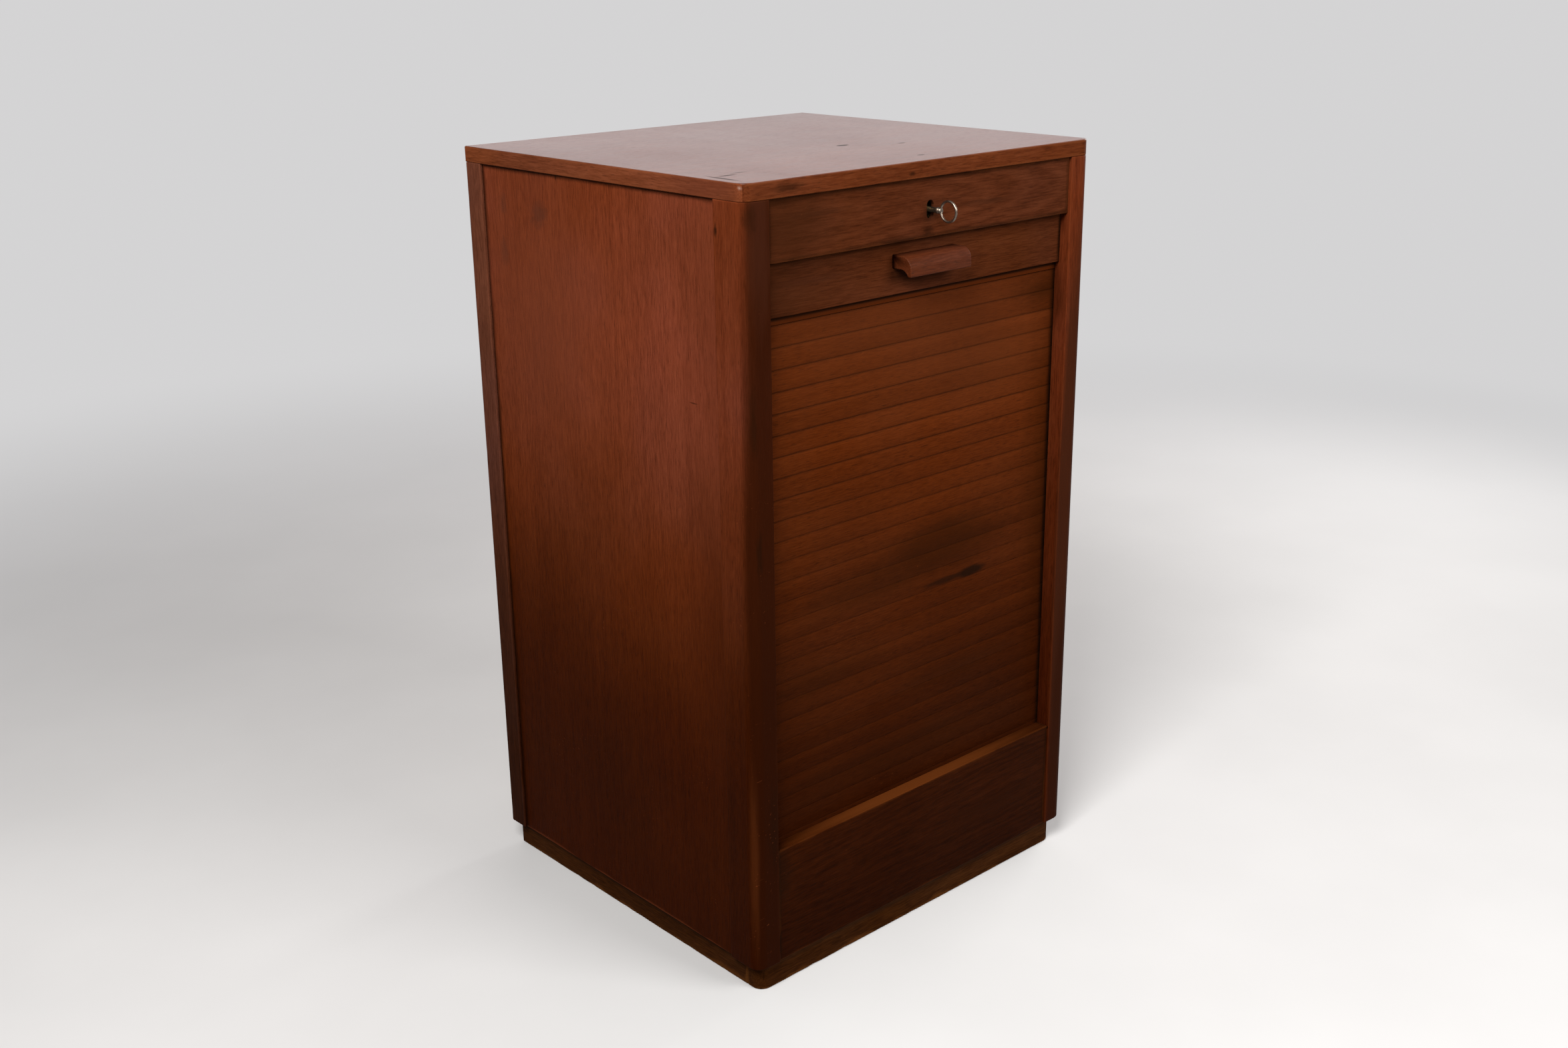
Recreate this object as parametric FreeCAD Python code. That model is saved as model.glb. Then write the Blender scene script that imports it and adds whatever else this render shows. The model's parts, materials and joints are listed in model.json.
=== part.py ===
import FreeCAD, Part
import math
import os

# Tambour cabinet with a shutter that opens downwards.
# Millimetres. +Z is up and the front faces -Y. The origin lies on the floor, under the middle
# of the whole object with its key in the lock.

# Overall size
cabinet_width = 470.0
cabinet_depth = 432.0
cabinet_height = 800.0

# Carcass
top_thickness = 16.0
front_corner_radius = 13.0
rear_edge_radius = 2.2
front_post_width = 30.0
front_post_depth = 41.0
rear_post_depth = 26.0
side_panel_recess = 3.5
side_panel_thickness = 8.0
side_panel_tongue = 6.0
back_panel_thickness = 5.0
back_rebate_width = 16.0
bottom_board_thickness = 10.0
inner_floor_thickness = 12.0
inner_floor_drop = 6.5
false_back_thickness = 5.0

# Plinth
plinth_height = 29.5
plinth_front_inset = 7.0
plinth_side_inset = 9.0
plinth_rear_inset = 5.5
plinth_corner_radius = 13.0
plinth_rail_thickness = 20.0

# Fixed front rails
lock_rail_height = 56.6
lock_rail_recess = 3.5
lock_rail_thickness = 20.0
apron_height = 123.0
apron_recess = 2.0
tenon_thickness = 8.0
tenon_length = 10.0
tenon_set_back = 3.0
tenon_shoulder = 10.0

# Shutter
slat_recess = 17.8
slat_thickness = 8.0
slat_count = 26
slat_joint = 0.6
slat_ease = 0.5
slat_tail_overlap = 17.1
lead_rail_height = 50.0
lead_rail_recess = 11.6
lead_rail_gap = 0.5
lead_flange_drop = 7.9
canvas_thickness = 0.7
canvas_edge = 12.0
glue_line = 0.05

# Groove that the shutter runs in
groove_depth = 9.0
groove_clearance = 0.5
groove_end_play = 0.6
bend_radius = 84.0
run_height = 6.5
rear_run_setback = 9.0
rear_run_length = 100.0
floor_gap = 4.0
false_back_gap = 1.6

# Pull
pull_length = 84.0
pull_projection = 24.0
pull_drop = 19.0
pull_nose_radius = 11.5
pull_back_height = 13.0
pull_lip = 4.0
pull_foot = 8.0
pull_below_lead_top = 11.8
quarter_share = 0.71

# Lock
key_height_in_rail = 26.0
keyhole_width = 9.6
keyhole_height = 17.8
lock_face_depth = 7.0
lock_wall = 1.5
lock_margin = 0.5
lock_plate_margin = 8.0
pocket_clearance = 0.2
follower_radius = 10.0
follower_boss_radius = 9.0
follower_stub_radius = 4.0
follower_end_play = 0.2
running_clearance = 0.05
hook_offset = 18.0
hook_outer_radius = 17.0
hook_width = 4.0
hook_thickness = 4.0
hook_hub_radius = 4.5
hook_pin_radius = 2.2
hook_floor_gap = 0.5
hook_start_angle = -14.0
hook_end_angle = 98.0
hook_arm_angle = 18.0
hook_swing = 120.0
hook_room = 0.6

# Strike plate on the back of the lead rail
strike_thickness = 1.5
strike_height = 12.0
strike_width = 34.0
strike_stud_radius = 2.8
strike_stud_over = 0.4
strike_screw_inset = 4.5

# Key
key_shank_radius = 2.6
key_shank_room = 0.15
key_tip_gap = 0.4
key_bit_length = 8.0
key_bit_height = 5.5
key_bit_thickness = 2.2
key_bit_room = 0.2
key_collar_radius = 4.0
key_collar_length = 5.5
key_stand_off = 13.6
key_ring_radius = 9.4
key_ring_wire = 1.5

# Shelves
shelf_count = 2
shelf_thickness = 14.0
shelf_side_gap = 1.0
shelf_front_gap = 8.0
shelf_rear_gap = 1.0
peg_radius = 3.0
peg_in_board = 8.0
peg_proud = 7.0
peg_inset = 60.0
peg_seat = 0.05

# Sides of small turned pieces
peg_sides = 16
screw_sides = 12
wire_sides = 8

# Countersunk screws: head radius, head height, shank radius, length
back_screw = (3.6, 2.2, 1.7, 16.0)
pull_screw = (3.8, 2.4, 1.9, 22.0)
lock_screw = (2.8, 1.3, 1.3, 9.0)
strike_screw = (2.6, 1.3, 1.2, 11.0)
screw_clearance = 0.1
back_screw_count = 4
back_screw_inset = 40.0
bottom_screw_spacing = 160.0
pull_screw_spacing = 56.0

overrun = 2.0

# Rounded arrises of the boards, and how near an edge lies to count as being at a place
arris_radius = 1.2
rail_arris_radius = 0.8
same_place = 0.01

# Levels and planes worked out from the sizes
side_x = cabinet_width / 2
key_overhang = key_stand_off + 2 * key_ring_radius + key_ring_wire - lock_rail_recess
front_y = -(cabinet_depth - key_overhang) / 2
rear_y = front_y + cabinet_depth
inner_x = side_x - front_post_width
top_under = cabinet_height - top_thickness
guide_outer_x = side_x - side_panel_recess - side_panel_thickness
front_post_rear_y = front_y + front_post_depth
rear_post_front_y = rear_y - rear_post_depth
back_panel_front_y = rear_y - back_panel_thickness

lock_rail_bottom = top_under - lock_rail_height
lock_rail_front_y = front_y + lock_rail_recess
lock_rail_rear_y = lock_rail_front_y + lock_rail_thickness
apron_top = plinth_height + apron_height
apron_front_y = front_y + apron_recess
apron_rear_y = front_y + slat_recess - groove_clearance

slat_front_y = front_y + slat_recess
slat_rear_y = slat_front_y + slat_thickness
lead_front_y = front_y + lead_rail_recess
lead_top = lock_rail_bottom - lead_rail_gap
lead_bottom = lead_top - lead_rail_height
lead_flange_bottom = lead_bottom - lead_flange_drop
curtain_top = lead_flange_bottom - slat_joint
slat_pitch = (curtain_top - apron_top + slat_tail_overlap) / slat_count
slat_half_length = inner_x + groove_depth - groove_end_play
canvas_front_y = slat_rear_y + glue_line
canvas_rear_y = canvas_front_y + canvas_thickness

groove_half_width = slat_thickness / 2 + groove_clearance
run_y = slat_front_y + slat_thickness / 2
bottom_board_top = plinth_height + bottom_board_thickness
run_z = bottom_board_top + run_height
bend_z = run_z + bend_radius
rear_run_y = back_panel_front_y - rear_run_setback
inner_floor_top = apron_top - inner_floor_drop
inner_floor_bottom = inner_floor_top - inner_floor_thickness
inner_floor_front_y = canvas_rear_y + floor_gap
false_back_rear_y = rear_run_y - groove_half_width - false_back_gap
false_back_front_y = false_back_rear_y - false_back_thickness

key_z = lock_rail_bottom + key_height_in_rail
strike_rear_y = slat_rear_y + strike_thickness
hook_front_y = strike_rear_y + hook_room
hook_rear_y = hook_front_y + hook_thickness
case_front_y = lock_rail_front_y + lock_face_depth
cavity_front_y = case_front_y + lock_wall
cavity_rear_y = hook_rear_y + hook_room
case_rear_y = cavity_rear_y + lock_wall
lock_plate_rear_y = lock_rail_rear_y + lock_wall
case_left_x = -follower_radius - lock_margin - lock_wall
case_right_x = hook_offset + hook_outer_radius + lock_margin + lock_wall
case_top = key_z + follower_radius + lock_margin + lock_wall
hook_z = lock_rail_bottom + lock_wall + hook_floor_gap + hook_hub_radius
hook_inner_radius = hook_outer_radius - hook_width
hook_arm_low_angle = hook_end_angle - hook_arm_angle - hook_swing
strike_bottom = lead_top - strike_height
follower_bore_end_y = lock_rail_rear_y - lock_wall
pull_top = lead_top - pull_below_lead_top
pull_bottom = pull_top - pull_drop

ALONG_X = FreeCAD.Vector(1, 0, 0)
ALONG_Y = FreeCAD.Vector(0, 1, 0)
ALONG_Z = FreeCAD.Vector(0, 0, 1)


def vector(x, y, z):
    return FreeCAD.Vector(x, y, z)


def block(x_low, x_high, y_low, y_high, z_low, z_high):
    """Box between two corners."""
    size = (x_high - x_low, y_high - y_low, z_high - z_low)
    return Part.makeBox(*size, vector(x_low, y_low, z_low))


def mirrored(shape):
    """The same piece for the other side of the cabinet."""
    return shape.mirror(vector(0, 0, 0), ALONG_X)


def arrises(shape, **places):
    """Edges of a shape that lie wholly at the given x, y or z."""
    found = []
    for edge in shape.Edges:
        ends = edge.BoundBox
        spans = {
            "x": (ends.XMin, ends.XMax),
            "y": (ends.YMin, ends.YMax),
            "z": (ends.ZMin, ends.ZMax),
        }
        offsets = [bound - place for axis, place in places.items() for bound in spans[axis]]
        if max(abs(offset) for offset in offsets) < same_place:
            found.append(edge)
    return found


def plan_prism(x_span, y_span, z_span, front_left=0, front_right=0, rear_right=0, rear_left=0):
    """Upright prism over a rectangle whose corners have the given radii."""
    x_low, x_high = x_span
    y_low, y_high = y_span
    z_low, z_high = z_span
    corners = (
        (x_low + front_left, y_low + front_left, front_left, 180),
        (x_high - front_right, y_low + front_right, front_right, 270),
        (x_high - rear_right, y_high - rear_right, rear_right, 0),
        (x_low + rear_left, y_high - rear_left, rear_left, 90),
    )
    edges = []
    stretches = []
    for centre_x, centre_y, radius, start in corners:
        points = []
        for turn in (0, 45, 90):
            angle = math.radians(start + turn)
            x = centre_x + radius * math.cos(angle)
            y = centre_y + radius * math.sin(angle)
            points.append(vector(x, y, z_low))
        stretches.append((radius, points))
    for index, (radius, points) in enumerate(stretches):
        if radius:
            edges.append(Part.Arc(*points).toShape())
        following = stretches[(index + 1) % len(stretches)][1]
        edges.append(Part.makeLine(points[-1], following[0]))
    return Part.Face(Part.Wire(edges)).extrude(ALONG_Z * (z_high - z_low))


def profile_along_x(edges_yz, x_low, x_high):
    """Closed outline in the YZ plane at x_low, drawn out to x_high."""
    return Part.Face(Part.Wire(edges_yz)).extrude(ALONG_X * (x_high - x_low))


def polygon_along_x(points_yz, x_low, x_high):
    """Polygon given by (y, z) pairs, drawn out along X."""
    points = [vector(x_low, y, z) for y, z in points_yz]
    outline = Part.makePolygon(points + points[:1])
    return Part.Face(outline).extrude(ALONG_X * (x_high - x_low))


def ring_sector(centre_x, centre_z, radii, angles, y_span):
    """Stretch of a flat ring in the XZ plane, with angles in degrees from +X towards +Z."""
    y_low, y_high = y_span

    def point(radius, angle):
        turn = math.radians(angle)
        return vector(centre_x + radius * math.cos(turn), y_low, centre_z + radius * math.sin(turn))

    inner, outer = radii
    start, end = angles
    middle = (start + end) / 2
    edges = [
        Part.Arc(point(outer, start), point(outer, middle), point(outer, end)).toShape(),
        Part.makeLine(point(outer, end), point(inner, end)),
        Part.Arc(point(inner, end), point(inner, middle), point(inner, start)).toShape(),
        Part.makeLine(point(inner, start), point(outer, start)),
    ]
    return Part.Face(Part.Wire(edges)).extrude(ALONG_Y * (y_high - y_low))


def rod_y(radius, x, z, y_low, y_high):
    """Cylinder along Y."""
    return Part.makeCylinder(radius, y_high - y_low, vector(x, y_low, z), ALONG_Y)


def polygon_points(radius, height, sides):
    """Corners of a regular polygon round the Z axis, at a height, with the first one repeated."""
    points = []
    for index in range(sides + 1):
        turn = math.radians(index % sides * 360 / sides)
        points.append(vector(radius * math.cos(turn), radius * math.sin(turn), height))
    return points


def turned(rings, sides, place, direction):
    """Small turned piece with flat sides, standing on place along direction.

    Each ring gives a radius and its height.
    """
    levels = [polygon_points(radius, height, sides) for radius, height in rings]
    outlines = [levels[0], levels[-1]]
    for low, high in zip(levels, levels[1:]):
        for index in range(sides):
            after = index + 1
            outlines.append([low[index], low[after], high[after], high[index], low[index]])
    faces = [Part.Face(Part.makePolygon(outline)) for outline in outlines]
    piece = Part.Solid(Part.Shell(faces))
    piece.Placement = FreeCAD.Placement(place, FreeCAD.Rotation(ALONG_Z, direction))
    return piece


def screw(size, place, direction, room=0.0):
    """Countersunk screw whose flat head ends at place, or its hole where room is given."""
    head_radius, head_height, shank_radius, length = size
    shank = shank_radius + room
    rings = [(head_radius + room, 0), (shank, head_height), (shank, length + room)]
    return turned(rings, screw_sides, place, direction)


def screws(size, places, direction):
    return Part.makeCompound([screw(size, place, direction) for place in places])


def without_screws(shape, size, places, direction):
    """The shape with a hole for each screw."""
    for place in places:
        shape = shape.cut(screw(size, place, direction, screw_clearance))
    return shape


def bend(centre_y, low_y, high_y, x_low, x_high):
    """Quarter turn of the groove, below its centre and between low_y and high_y."""
    centre = vector(x_low, centre_y, bend_z)
    length = x_high - x_low
    outer = Part.makeCylinder(bend_radius + groove_half_width, length, centre, ALONG_X)
    inner = Part.makeCylinder(bend_radius - groove_half_width, length, centre, ALONG_X)
    bottom = bend_z - bend_radius - groove_half_width
    quarter = block(x_low, x_high, low_y, high_y, bottom, bend_z)
    return outer.cut(inner).common(quarter)


def shutter_groove():
    """Space of the left groove: down the front, back under the inner floor and up the rear."""
    x_low = -inner_x - groove_depth
    x_high = -inner_x + overrun
    half = groove_half_width
    front_run = block(x_low, x_high, run_y - half, run_y + half, plinth_height, top_under)
    front_bend_y = run_y + bend_radius
    rear_bend_y = rear_run_y - bend_radius
    front_bend = bend(front_bend_y, run_y - half, front_bend_y, x_low, x_high)
    bottom_run = block(x_low, x_high, front_bend_y, rear_bend_y, run_z - half, run_z + half)
    rear_bend = bend(rear_bend_y, rear_bend_y, rear_run_y + half, x_low, x_high)
    rear_top = bend_z + rear_run_length
    rear_run = block(x_low, x_high, rear_run_y - half, rear_run_y + half, bend_z, rear_top)
    return front_run.multiFuse([front_bend, bottom_run, rear_bend, rear_run])


def side_panel():
    """Left side panel with its tongues in the posts."""
    x_low = -side_x + side_panel_recess
    y_low = front_post_rear_y - side_panel_tongue
    y_high = rear_post_front_y + side_panel_tongue
    return block(x_low, -guide_outer_x, y_low, y_high, plinth_height, top_under)


def tenon(rail_front_y, z_low, z_high):
    """Left tenon of a front rail."""
    y_low = rail_front_y + tenon_set_back
    z_span = (z_low + tenon_shoulder, z_high - tenon_shoulder)
    return block(-inner_x - tenon_length, -inner_x, y_low, y_low + tenon_thickness, *z_span)


def lock_rail_tenon():
    return tenon(lock_rail_front_y, lock_rail_bottom, top_under)


def apron_tenon():
    return tenon(apron_front_y, plinth_height, apron_top)


def front_post():
    """Left front post: rounded outer corner, shutter groove, panel groove and mortises."""
    post = plan_prism(
        (-side_x, -inner_x),
        (front_y, front_post_rear_y),
        (plinth_height, top_under),
        front_left=front_corner_radius,
    )
    post = post.makeFillet(rail_arris_radius, arrises(post, x=-inner_x, y=front_y))
    return post.cut([shutter_groove(), side_panel(), lock_rail_tenon(), apron_tenon()])


def back_screw_places():
    """Screws of the back panel: up each rear post, and along the bottom board."""
    x = inner_x + back_rebate_width - back_screw[0] - screw_clearance
    low = plinth_height + back_screw_inset
    step = (top_under - back_screw_inset - low) / (back_screw_count - 1)
    places = []
    for index in range(back_screw_count):
        for side in (-x, x):
            places.append(vector(side, rear_y, low + index * step))
    for side in (-bottom_screw_spacing / 2, bottom_screw_spacing / 2):
        places.append(vector(side, rear_y, plinth_height + bottom_board_thickness / 2))
    return places


def rear_post():
    """Left rear post: shutter groove, panel groove and the rebate of the back panel."""
    post = plan_prism(
        (-side_x, -inner_x),
        (rear_post_front_y, rear_y),
        (plinth_height, top_under),
        rear_left=rear_edge_radius,
    )
    rebate = block(
        -inner_x - back_rebate_width,
        -inner_x + overrun,
        back_panel_front_y,
        rear_y + overrun,
        plinth_height,
        top_under,
    )
    post = post.cut([shutter_groove(), side_panel(), rebate])
    return without_screws(post, back_screw, back_screw_places(), -ALONG_Y)


def peg_places():
    """Middle of each shelf peg on the left guide board, as (y, z)."""
    places = []
    for level in shelf_levels():
        for y in (shelf_front_y() + peg_inset, false_back_front_y - peg_inset):
            places.append((y, level - peg_radius - peg_seat))
    return places


def peg(y, z, room=0.0):
    """Left shelf peg, or its hole where room is given."""
    start = vector(-inner_x - peg_in_board - room, y, z)
    radius = peg_radius + room
    length = peg_in_board + peg_proud + room
    return turned([(radius, 0), (radius, length)], peg_sides, start, ALONG_X)


def guide_board():
    """Left guide board between the posts, flush with their inner faces."""
    board = block(
        -guide_outer_x, -inner_x, front_post_rear_y, rear_post_front_y, plinth_height, top_under
    )
    holes = [peg(y, z, running_clearance) for y, z in peg_places()]
    return board.cut([shutter_groove()] + holes)


def top_board():
    board = plan_prism(
        (-side_x, side_x),
        (front_y, rear_y),
        (top_under, cabinet_height),
        front_left=front_corner_radius,
        front_right=front_corner_radius,
    )
    return board.makeFillet(arris_radius, arrises(board, z=cabinet_height))


def back_panel():
    half_width = inner_x + back_rebate_width
    panel = block(-half_width, half_width, back_panel_front_y, rear_y, plinth_height, top_under)
    return without_screws(panel, back_screw, back_screw_places(), -ALONG_Y)


def bottom_board():
    board = block(
        -inner_x, inner_x, apron_rear_y, back_panel_front_y, plinth_height, bottom_board_top
    )
    return without_screws(board, back_screw, back_screw_places(), -ALONG_Y)


def inner_floor():
    board = block(
        -inner_x,
        inner_x,
        inner_floor_front_y,
        false_back_rear_y,
        inner_floor_bottom,
        inner_floor_top,
    )
    front = arrises(board, y=inner_floor_front_y, z=inner_floor_top)
    return board.makeFillet(arris_radius, front)


def false_back():
    return block(
        -inner_x, inner_x, false_back_front_y, false_back_rear_y, inner_floor_top, top_under
    )


def apron():
    board = block(-inner_x, inner_x, apron_front_y, apron_rear_y, plinth_height, apron_top)
    board = board.makeFillet(arris_radius, arrises(board, y=apron_front_y, z=apron_top))
    return board.multiFuse([apron_tenon(), mirrored(apron_tenon())])


def lock_screw_places():
    """Screws of the lock's back plate, near its corners."""
    inset = lock_plate_margin / 2
    places = []
    for x in (case_left_x - inset, case_right_x + inset):
        for z in (lock_rail_bottom + lock_plate_margin, case_top + inset):
            places.append(vector(x, lock_plate_rear_y, z))
    return places


def keyhole(y_low, y_high):
    """Upright oval hole round the key's axis."""
    radius = keyhole_width / 2
    rise = keyhole_height / 2 - radius
    upper = rod_y(radius, 0, key_z + rise, y_low, y_high)
    lower = rod_y(radius, 0, key_z - rise, y_low, y_high)
    middle = block(-radius, radius, y_low, y_high, key_z - rise, key_z + rise)
    return middle.multiFuse([upper, lower])


def lock_rail():
    """Fixed rail with the keyhole in front and the pocket of the lock behind."""
    rail = block(
        -inner_x, inner_x, lock_rail_front_y, lock_rail_rear_y, lock_rail_bottom, top_under
    )
    lower = arrises(rail, y=lock_rail_front_y, z=lock_rail_bottom)
    rail = rail.makeFillet(rail_arris_radius, lower)
    rail = rail.multiFuse([lock_rail_tenon(), mirrored(lock_rail_tenon())])
    pocket = block(
        case_left_x - pocket_clearance,
        case_right_x + pocket_clearance,
        case_front_y,
        lock_rail_rear_y + overrun,
        lock_rail_bottom - overrun,
        case_top + pocket_clearance,
    )
    rail = rail.cut([pocket, keyhole(front_y, cavity_front_y)])
    return without_screws(rail, lock_screw, lock_screw_places(), -ALONG_Y)


def hook_slot():
    """Slot in the case's floor, as wide as the hook's arm and finger need."""
    z_high = lock_rail_bottom + lock_wall
    drop = hook_z - z_high
    near_x = hook_offset + drop / math.tan(math.radians(-hook_arm_low_angle)) - hook_room
    far_x = hook_offset + math.sqrt(hook_outer_radius ** 2 - drop ** 2) + hook_room
    y_span = (hook_front_y - hook_room, hook_rear_y + hook_room)
    return block(near_x, far_x, *y_span, lock_rail_bottom, z_high)


def lock_case():
    """Sheet case with its mounting plate, key bearings, hook pin and the slot for the hook."""
    shell = block(
        case_left_x, case_right_x, case_front_y, case_rear_y, lock_rail_bottom, case_top
    )
    cavity = block(
        case_left_x + lock_wall,
        case_right_x - lock_wall,
        cavity_front_y,
        cavity_rear_y,
        lock_rail_bottom + lock_wall,
        case_top - lock_wall,
    )
    plate = block(
        case_left_x - lock_plate_margin,
        case_right_x + lock_plate_margin,
        lock_rail_rear_y,
        lock_plate_rear_y,
        lock_rail_bottom,
        case_top + lock_plate_margin,
    )
    pin = rod_y(hook_pin_radius, hook_offset, hook_z, cavity_front_y, cavity_rear_y)
    boss_radius = follower_boss_radius + running_clearance
    front_bearing = rod_y(boss_radius, 0, key_z, case_front_y - overrun, cavity_front_y)
    stub_radius = follower_stub_radius + running_clearance
    rear_bearing = rod_y(stub_radius, 0, key_z, cavity_rear_y, case_rear_y + overrun)
    case = shell.fuse(plate).cut(cavity).fuse(pin)
    case = case.cut([front_bearing, rear_bearing, hook_slot()])
    return without_screws(case, lock_screw, lock_screw_places(), -ALONG_Y)


def key_bit(y_low, y_high, room=0.0):
    """Flat bit under the key's shank, or its keyway where room is given."""
    half = key_bit_thickness / 2 + room
    reach = key_shank_radius + key_bit_height + room
    return block(-half, half, y_low, y_high, key_z - reach, key_z)


def lock_follower():
    """Turning piece with the keyway, held at both ends in the lock's case."""
    body_front_y = cavity_front_y + follower_end_play
    body_rear_y = cavity_rear_y - follower_end_play
    body = rod_y(follower_radius, 0, key_z, body_front_y, body_rear_y)
    boss = rod_y(follower_boss_radius, 0, key_z, case_front_y + follower_end_play, body_front_y)
    stub = rod_y(follower_stub_radius, 0, key_z, body_rear_y, case_rear_y)
    bore_radius = key_shank_radius + key_shank_room
    bore = rod_y(bore_radius, 0, key_z, case_front_y, follower_bore_end_y)
    keyway = key_bit(case_front_y, follower_bore_end_y, key_bit_room)
    return body.multiFuse([boss, stub]).cut([bore, keyway])


def lock_hook():
    """Hook bolt: hub on the pin, arm and round finger, folded up into the case."""
    y_span = (hook_front_y, hook_rear_y)
    centre = (hook_offset, hook_z)
    finger = ring_sector(
        *centre, (hook_inner_radius, hook_outer_radius), (hook_start_angle, hook_end_angle), y_span
    )
    arm_angles = (hook_end_angle - hook_arm_angle, hook_end_angle)
    arm_radii = ((hook_pin_radius + hook_hub_radius) / 2, hook_inner_radius + hook_width / 2)
    arm = ring_sector(*centre, arm_radii, arm_angles, y_span)
    hub = rod_y(hook_hub_radius, *centre, *y_span)
    eye = rod_y(hook_pin_radius + running_clearance, *centre, *y_span)
    return hub.multiFuse([arm, finger]).cut(eye)


def strike_screw_places():
    reach = strike_width / 2 - strike_screw_inset
    z = (strike_bottom + lead_top) / 2
    return [vector(x, strike_rear_y, z) for x in (hook_offset - reach, hook_offset + reach)]


def strike_plate():
    """Plate with the stud that the hook's finger reaches under."""
    x_span = (hook_offset - strike_width / 2, hook_offset + strike_width / 2)
    plate = block(*x_span, slat_rear_y, strike_rear_y, strike_bottom, lead_top)
    stud_z = lead_top - strike_stud_radius
    stud_end_y = hook_rear_y + strike_stud_over
    stud = rod_y(strike_stud_radius, hook_offset, stud_z, slat_rear_y, stud_end_y)
    return without_screws(plate.fuse(stud), strike_screw, strike_screw_places(), -ALONG_Y)


def pull_screw_places():
    z = pull_top - pull_back_height / 2
    xs = (-pull_screw_spacing / 2, pull_screw_spacing / 2)
    return [vector(x, slat_rear_y, z) for x in xs]


def lead_rail():
    """Top member of the shutter: thick batten in front of a flange that runs in the grooves."""
    batten_half = inner_x - groove_end_play
    batten = block(-batten_half, batten_half, lead_front_y, slat_front_y, lead_bottom, lead_top)
    front = arrises(batten, y=lead_front_y, z=lead_bottom) + arrises(batten, y=lead_front_y, z=lead_top)
    batten = batten.makeFillet(rail_arris_radius, front)
    flange = block(
        -slat_half_length,
        slat_half_length,
        slat_front_y,
        slat_rear_y,
        lead_flange_bottom,
        lead_top,
    )
    rail = batten.fuse(flange).removeSplitter()
    rail = without_screws(rail, strike_screw, strike_screw_places(), -ALONG_Y)
    return without_screws(rail, pull_screw, pull_screw_places(), -ALONG_Y)


def pull():
    """Wooden pull: flat top, round nose and upright front, hollowed underneath for the fingers."""
    x_low = -pull_length / 2

    def point(out, up):
        return vector(x_low, lead_front_y - out, pull_bottom + up)

    hollow_height = pull_drop - pull_back_height
    hollow_reach = pull_projection - pull_lip - pull_foot
    nose_out = pull_projection - pull_nose_radius
    nose_up = pull_drop - pull_nose_radius
    nose_reach = pull_nose_radius * quarter_share
    over = point(nose_out + nose_reach, nose_up + nose_reach)
    under = point(pull_foot + hollow_reach * quarter_share, hollow_height * quarter_share)
    back_top = point(0, pull_drop)
    nose_top = point(nose_out, pull_drop)
    nose_front = point(pull_projection, nose_up)
    lip_front = point(pull_projection, 0)
    lip_rear = point(pull_projection - pull_lip, 0)
    hollow_top = point(pull_foot, hollow_height)
    back_bottom = point(0, hollow_height)
    edges = [
        Part.makeLine(back_top, nose_top),
        Part.Arc(nose_top, over, nose_front).toShape(),
        Part.makeLine(nose_front, lip_front),
        Part.makeLine(lip_front, lip_rear),
        Part.Arc(lip_rear, under, hollow_top).toShape(),
        Part.makeLine(hollow_top, back_bottom),
        Part.makeLine(back_bottom, back_top),
    ]
    handle = profile_along_x(edges, x_low, pull_length / 2)
    return without_screws(handle, pull_screw, pull_screw_places(), -ALONG_Y)


def slat(index):
    """Flat slat with eased front arrises, counted from the top."""
    top = curtain_top - index * slat_pitch
    bottom = top - slat_pitch + slat_joint
    outline = (
        (slat_front_y + slat_ease, bottom),
        (slat_rear_y, bottom),
        (slat_rear_y, top),
        (slat_front_y + slat_ease, top),
        (slat_front_y, top - slat_ease),
        (slat_front_y, bottom + slat_ease),
    )
    return polygon_along_x(outline, -slat_half_length, slat_half_length)


def canvas():
    """Cloth that the slats and the lead rail are glued to."""
    half_width = inner_x - canvas_edge
    bottom = curtain_top - slat_count * slat_pitch + slat_joint
    return block(
        -half_width, half_width, canvas_front_y, canvas_rear_y, bottom, lead_bottom - glue_line
    )


def key_ring(ring_y):
    """Ring of wire in the upright plane along the key's axis."""
    section = Part.makePolygon(polygon_points(key_ring_wire, 0, wire_sides))
    section.translate(vector(0, ring_y + key_ring_radius, key_z))
    return Part.Face(section).revolve(vector(0, ring_y, key_z), ALONG_X, 360)


def key():
    """Key with a round bow, its ring upright and its bit pointing down."""
    tip_y = follower_bore_end_y - key_tip_gap
    collar_front_y = lock_rail_front_y - key_stand_off
    ring_y = collar_front_y - key_ring_radius
    shank = rod_y(key_shank_radius, 0, key_z, collar_front_y, tip_y)
    collar_end_y = collar_front_y + key_collar_length
    collar = rod_y(key_collar_radius, 0, key_z, collar_front_y - key_ring_wire / 2, collar_end_y)
    bit = key_bit(tip_y - key_bit_length, tip_y)
    return shank.multiFuse([collar, bit, key_ring(ring_y)])


def shelf_levels():
    """Underside of each shelf: equal spaces between the inner floor and the top board."""
    free = top_under - inner_floor_top - shelf_count * shelf_thickness
    space = free / (shelf_count + 1)
    return [
        inner_floor_top + (index + 1) * space + index * shelf_thickness
        for index in range(shelf_count)
    ]


def shelf_front_y():
    return canvas_rear_y + shelf_front_gap


def shelf(level):
    half_width = inner_x - shelf_side_gap
    rear = false_back_front_y - shelf_rear_gap
    front = shelf_front_y()
    top = level + shelf_thickness
    board = block(-half_width, half_width, front, rear, level, top)
    edges = arrises(board, y=front, z=level) + arrises(board, y=front, z=top)
    return board.makeFillet(arris_radius, edges)


def shelf_pegs():
    left = [peg(y, z) for y, z in peg_places()]
    return Part.makeCompound(left + [mirrored(one) for one in left])


def plinth_front():
    half_width = side_x - plinth_side_inset
    y_low = front_y + plinth_front_inset
    return plan_prism(
        (-half_width, half_width),
        (y_low, y_low + plinth_rail_thickness),
        (0, plinth_height),
        front_left=plinth_corner_radius,
        front_right=plinth_corner_radius,
    )


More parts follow.
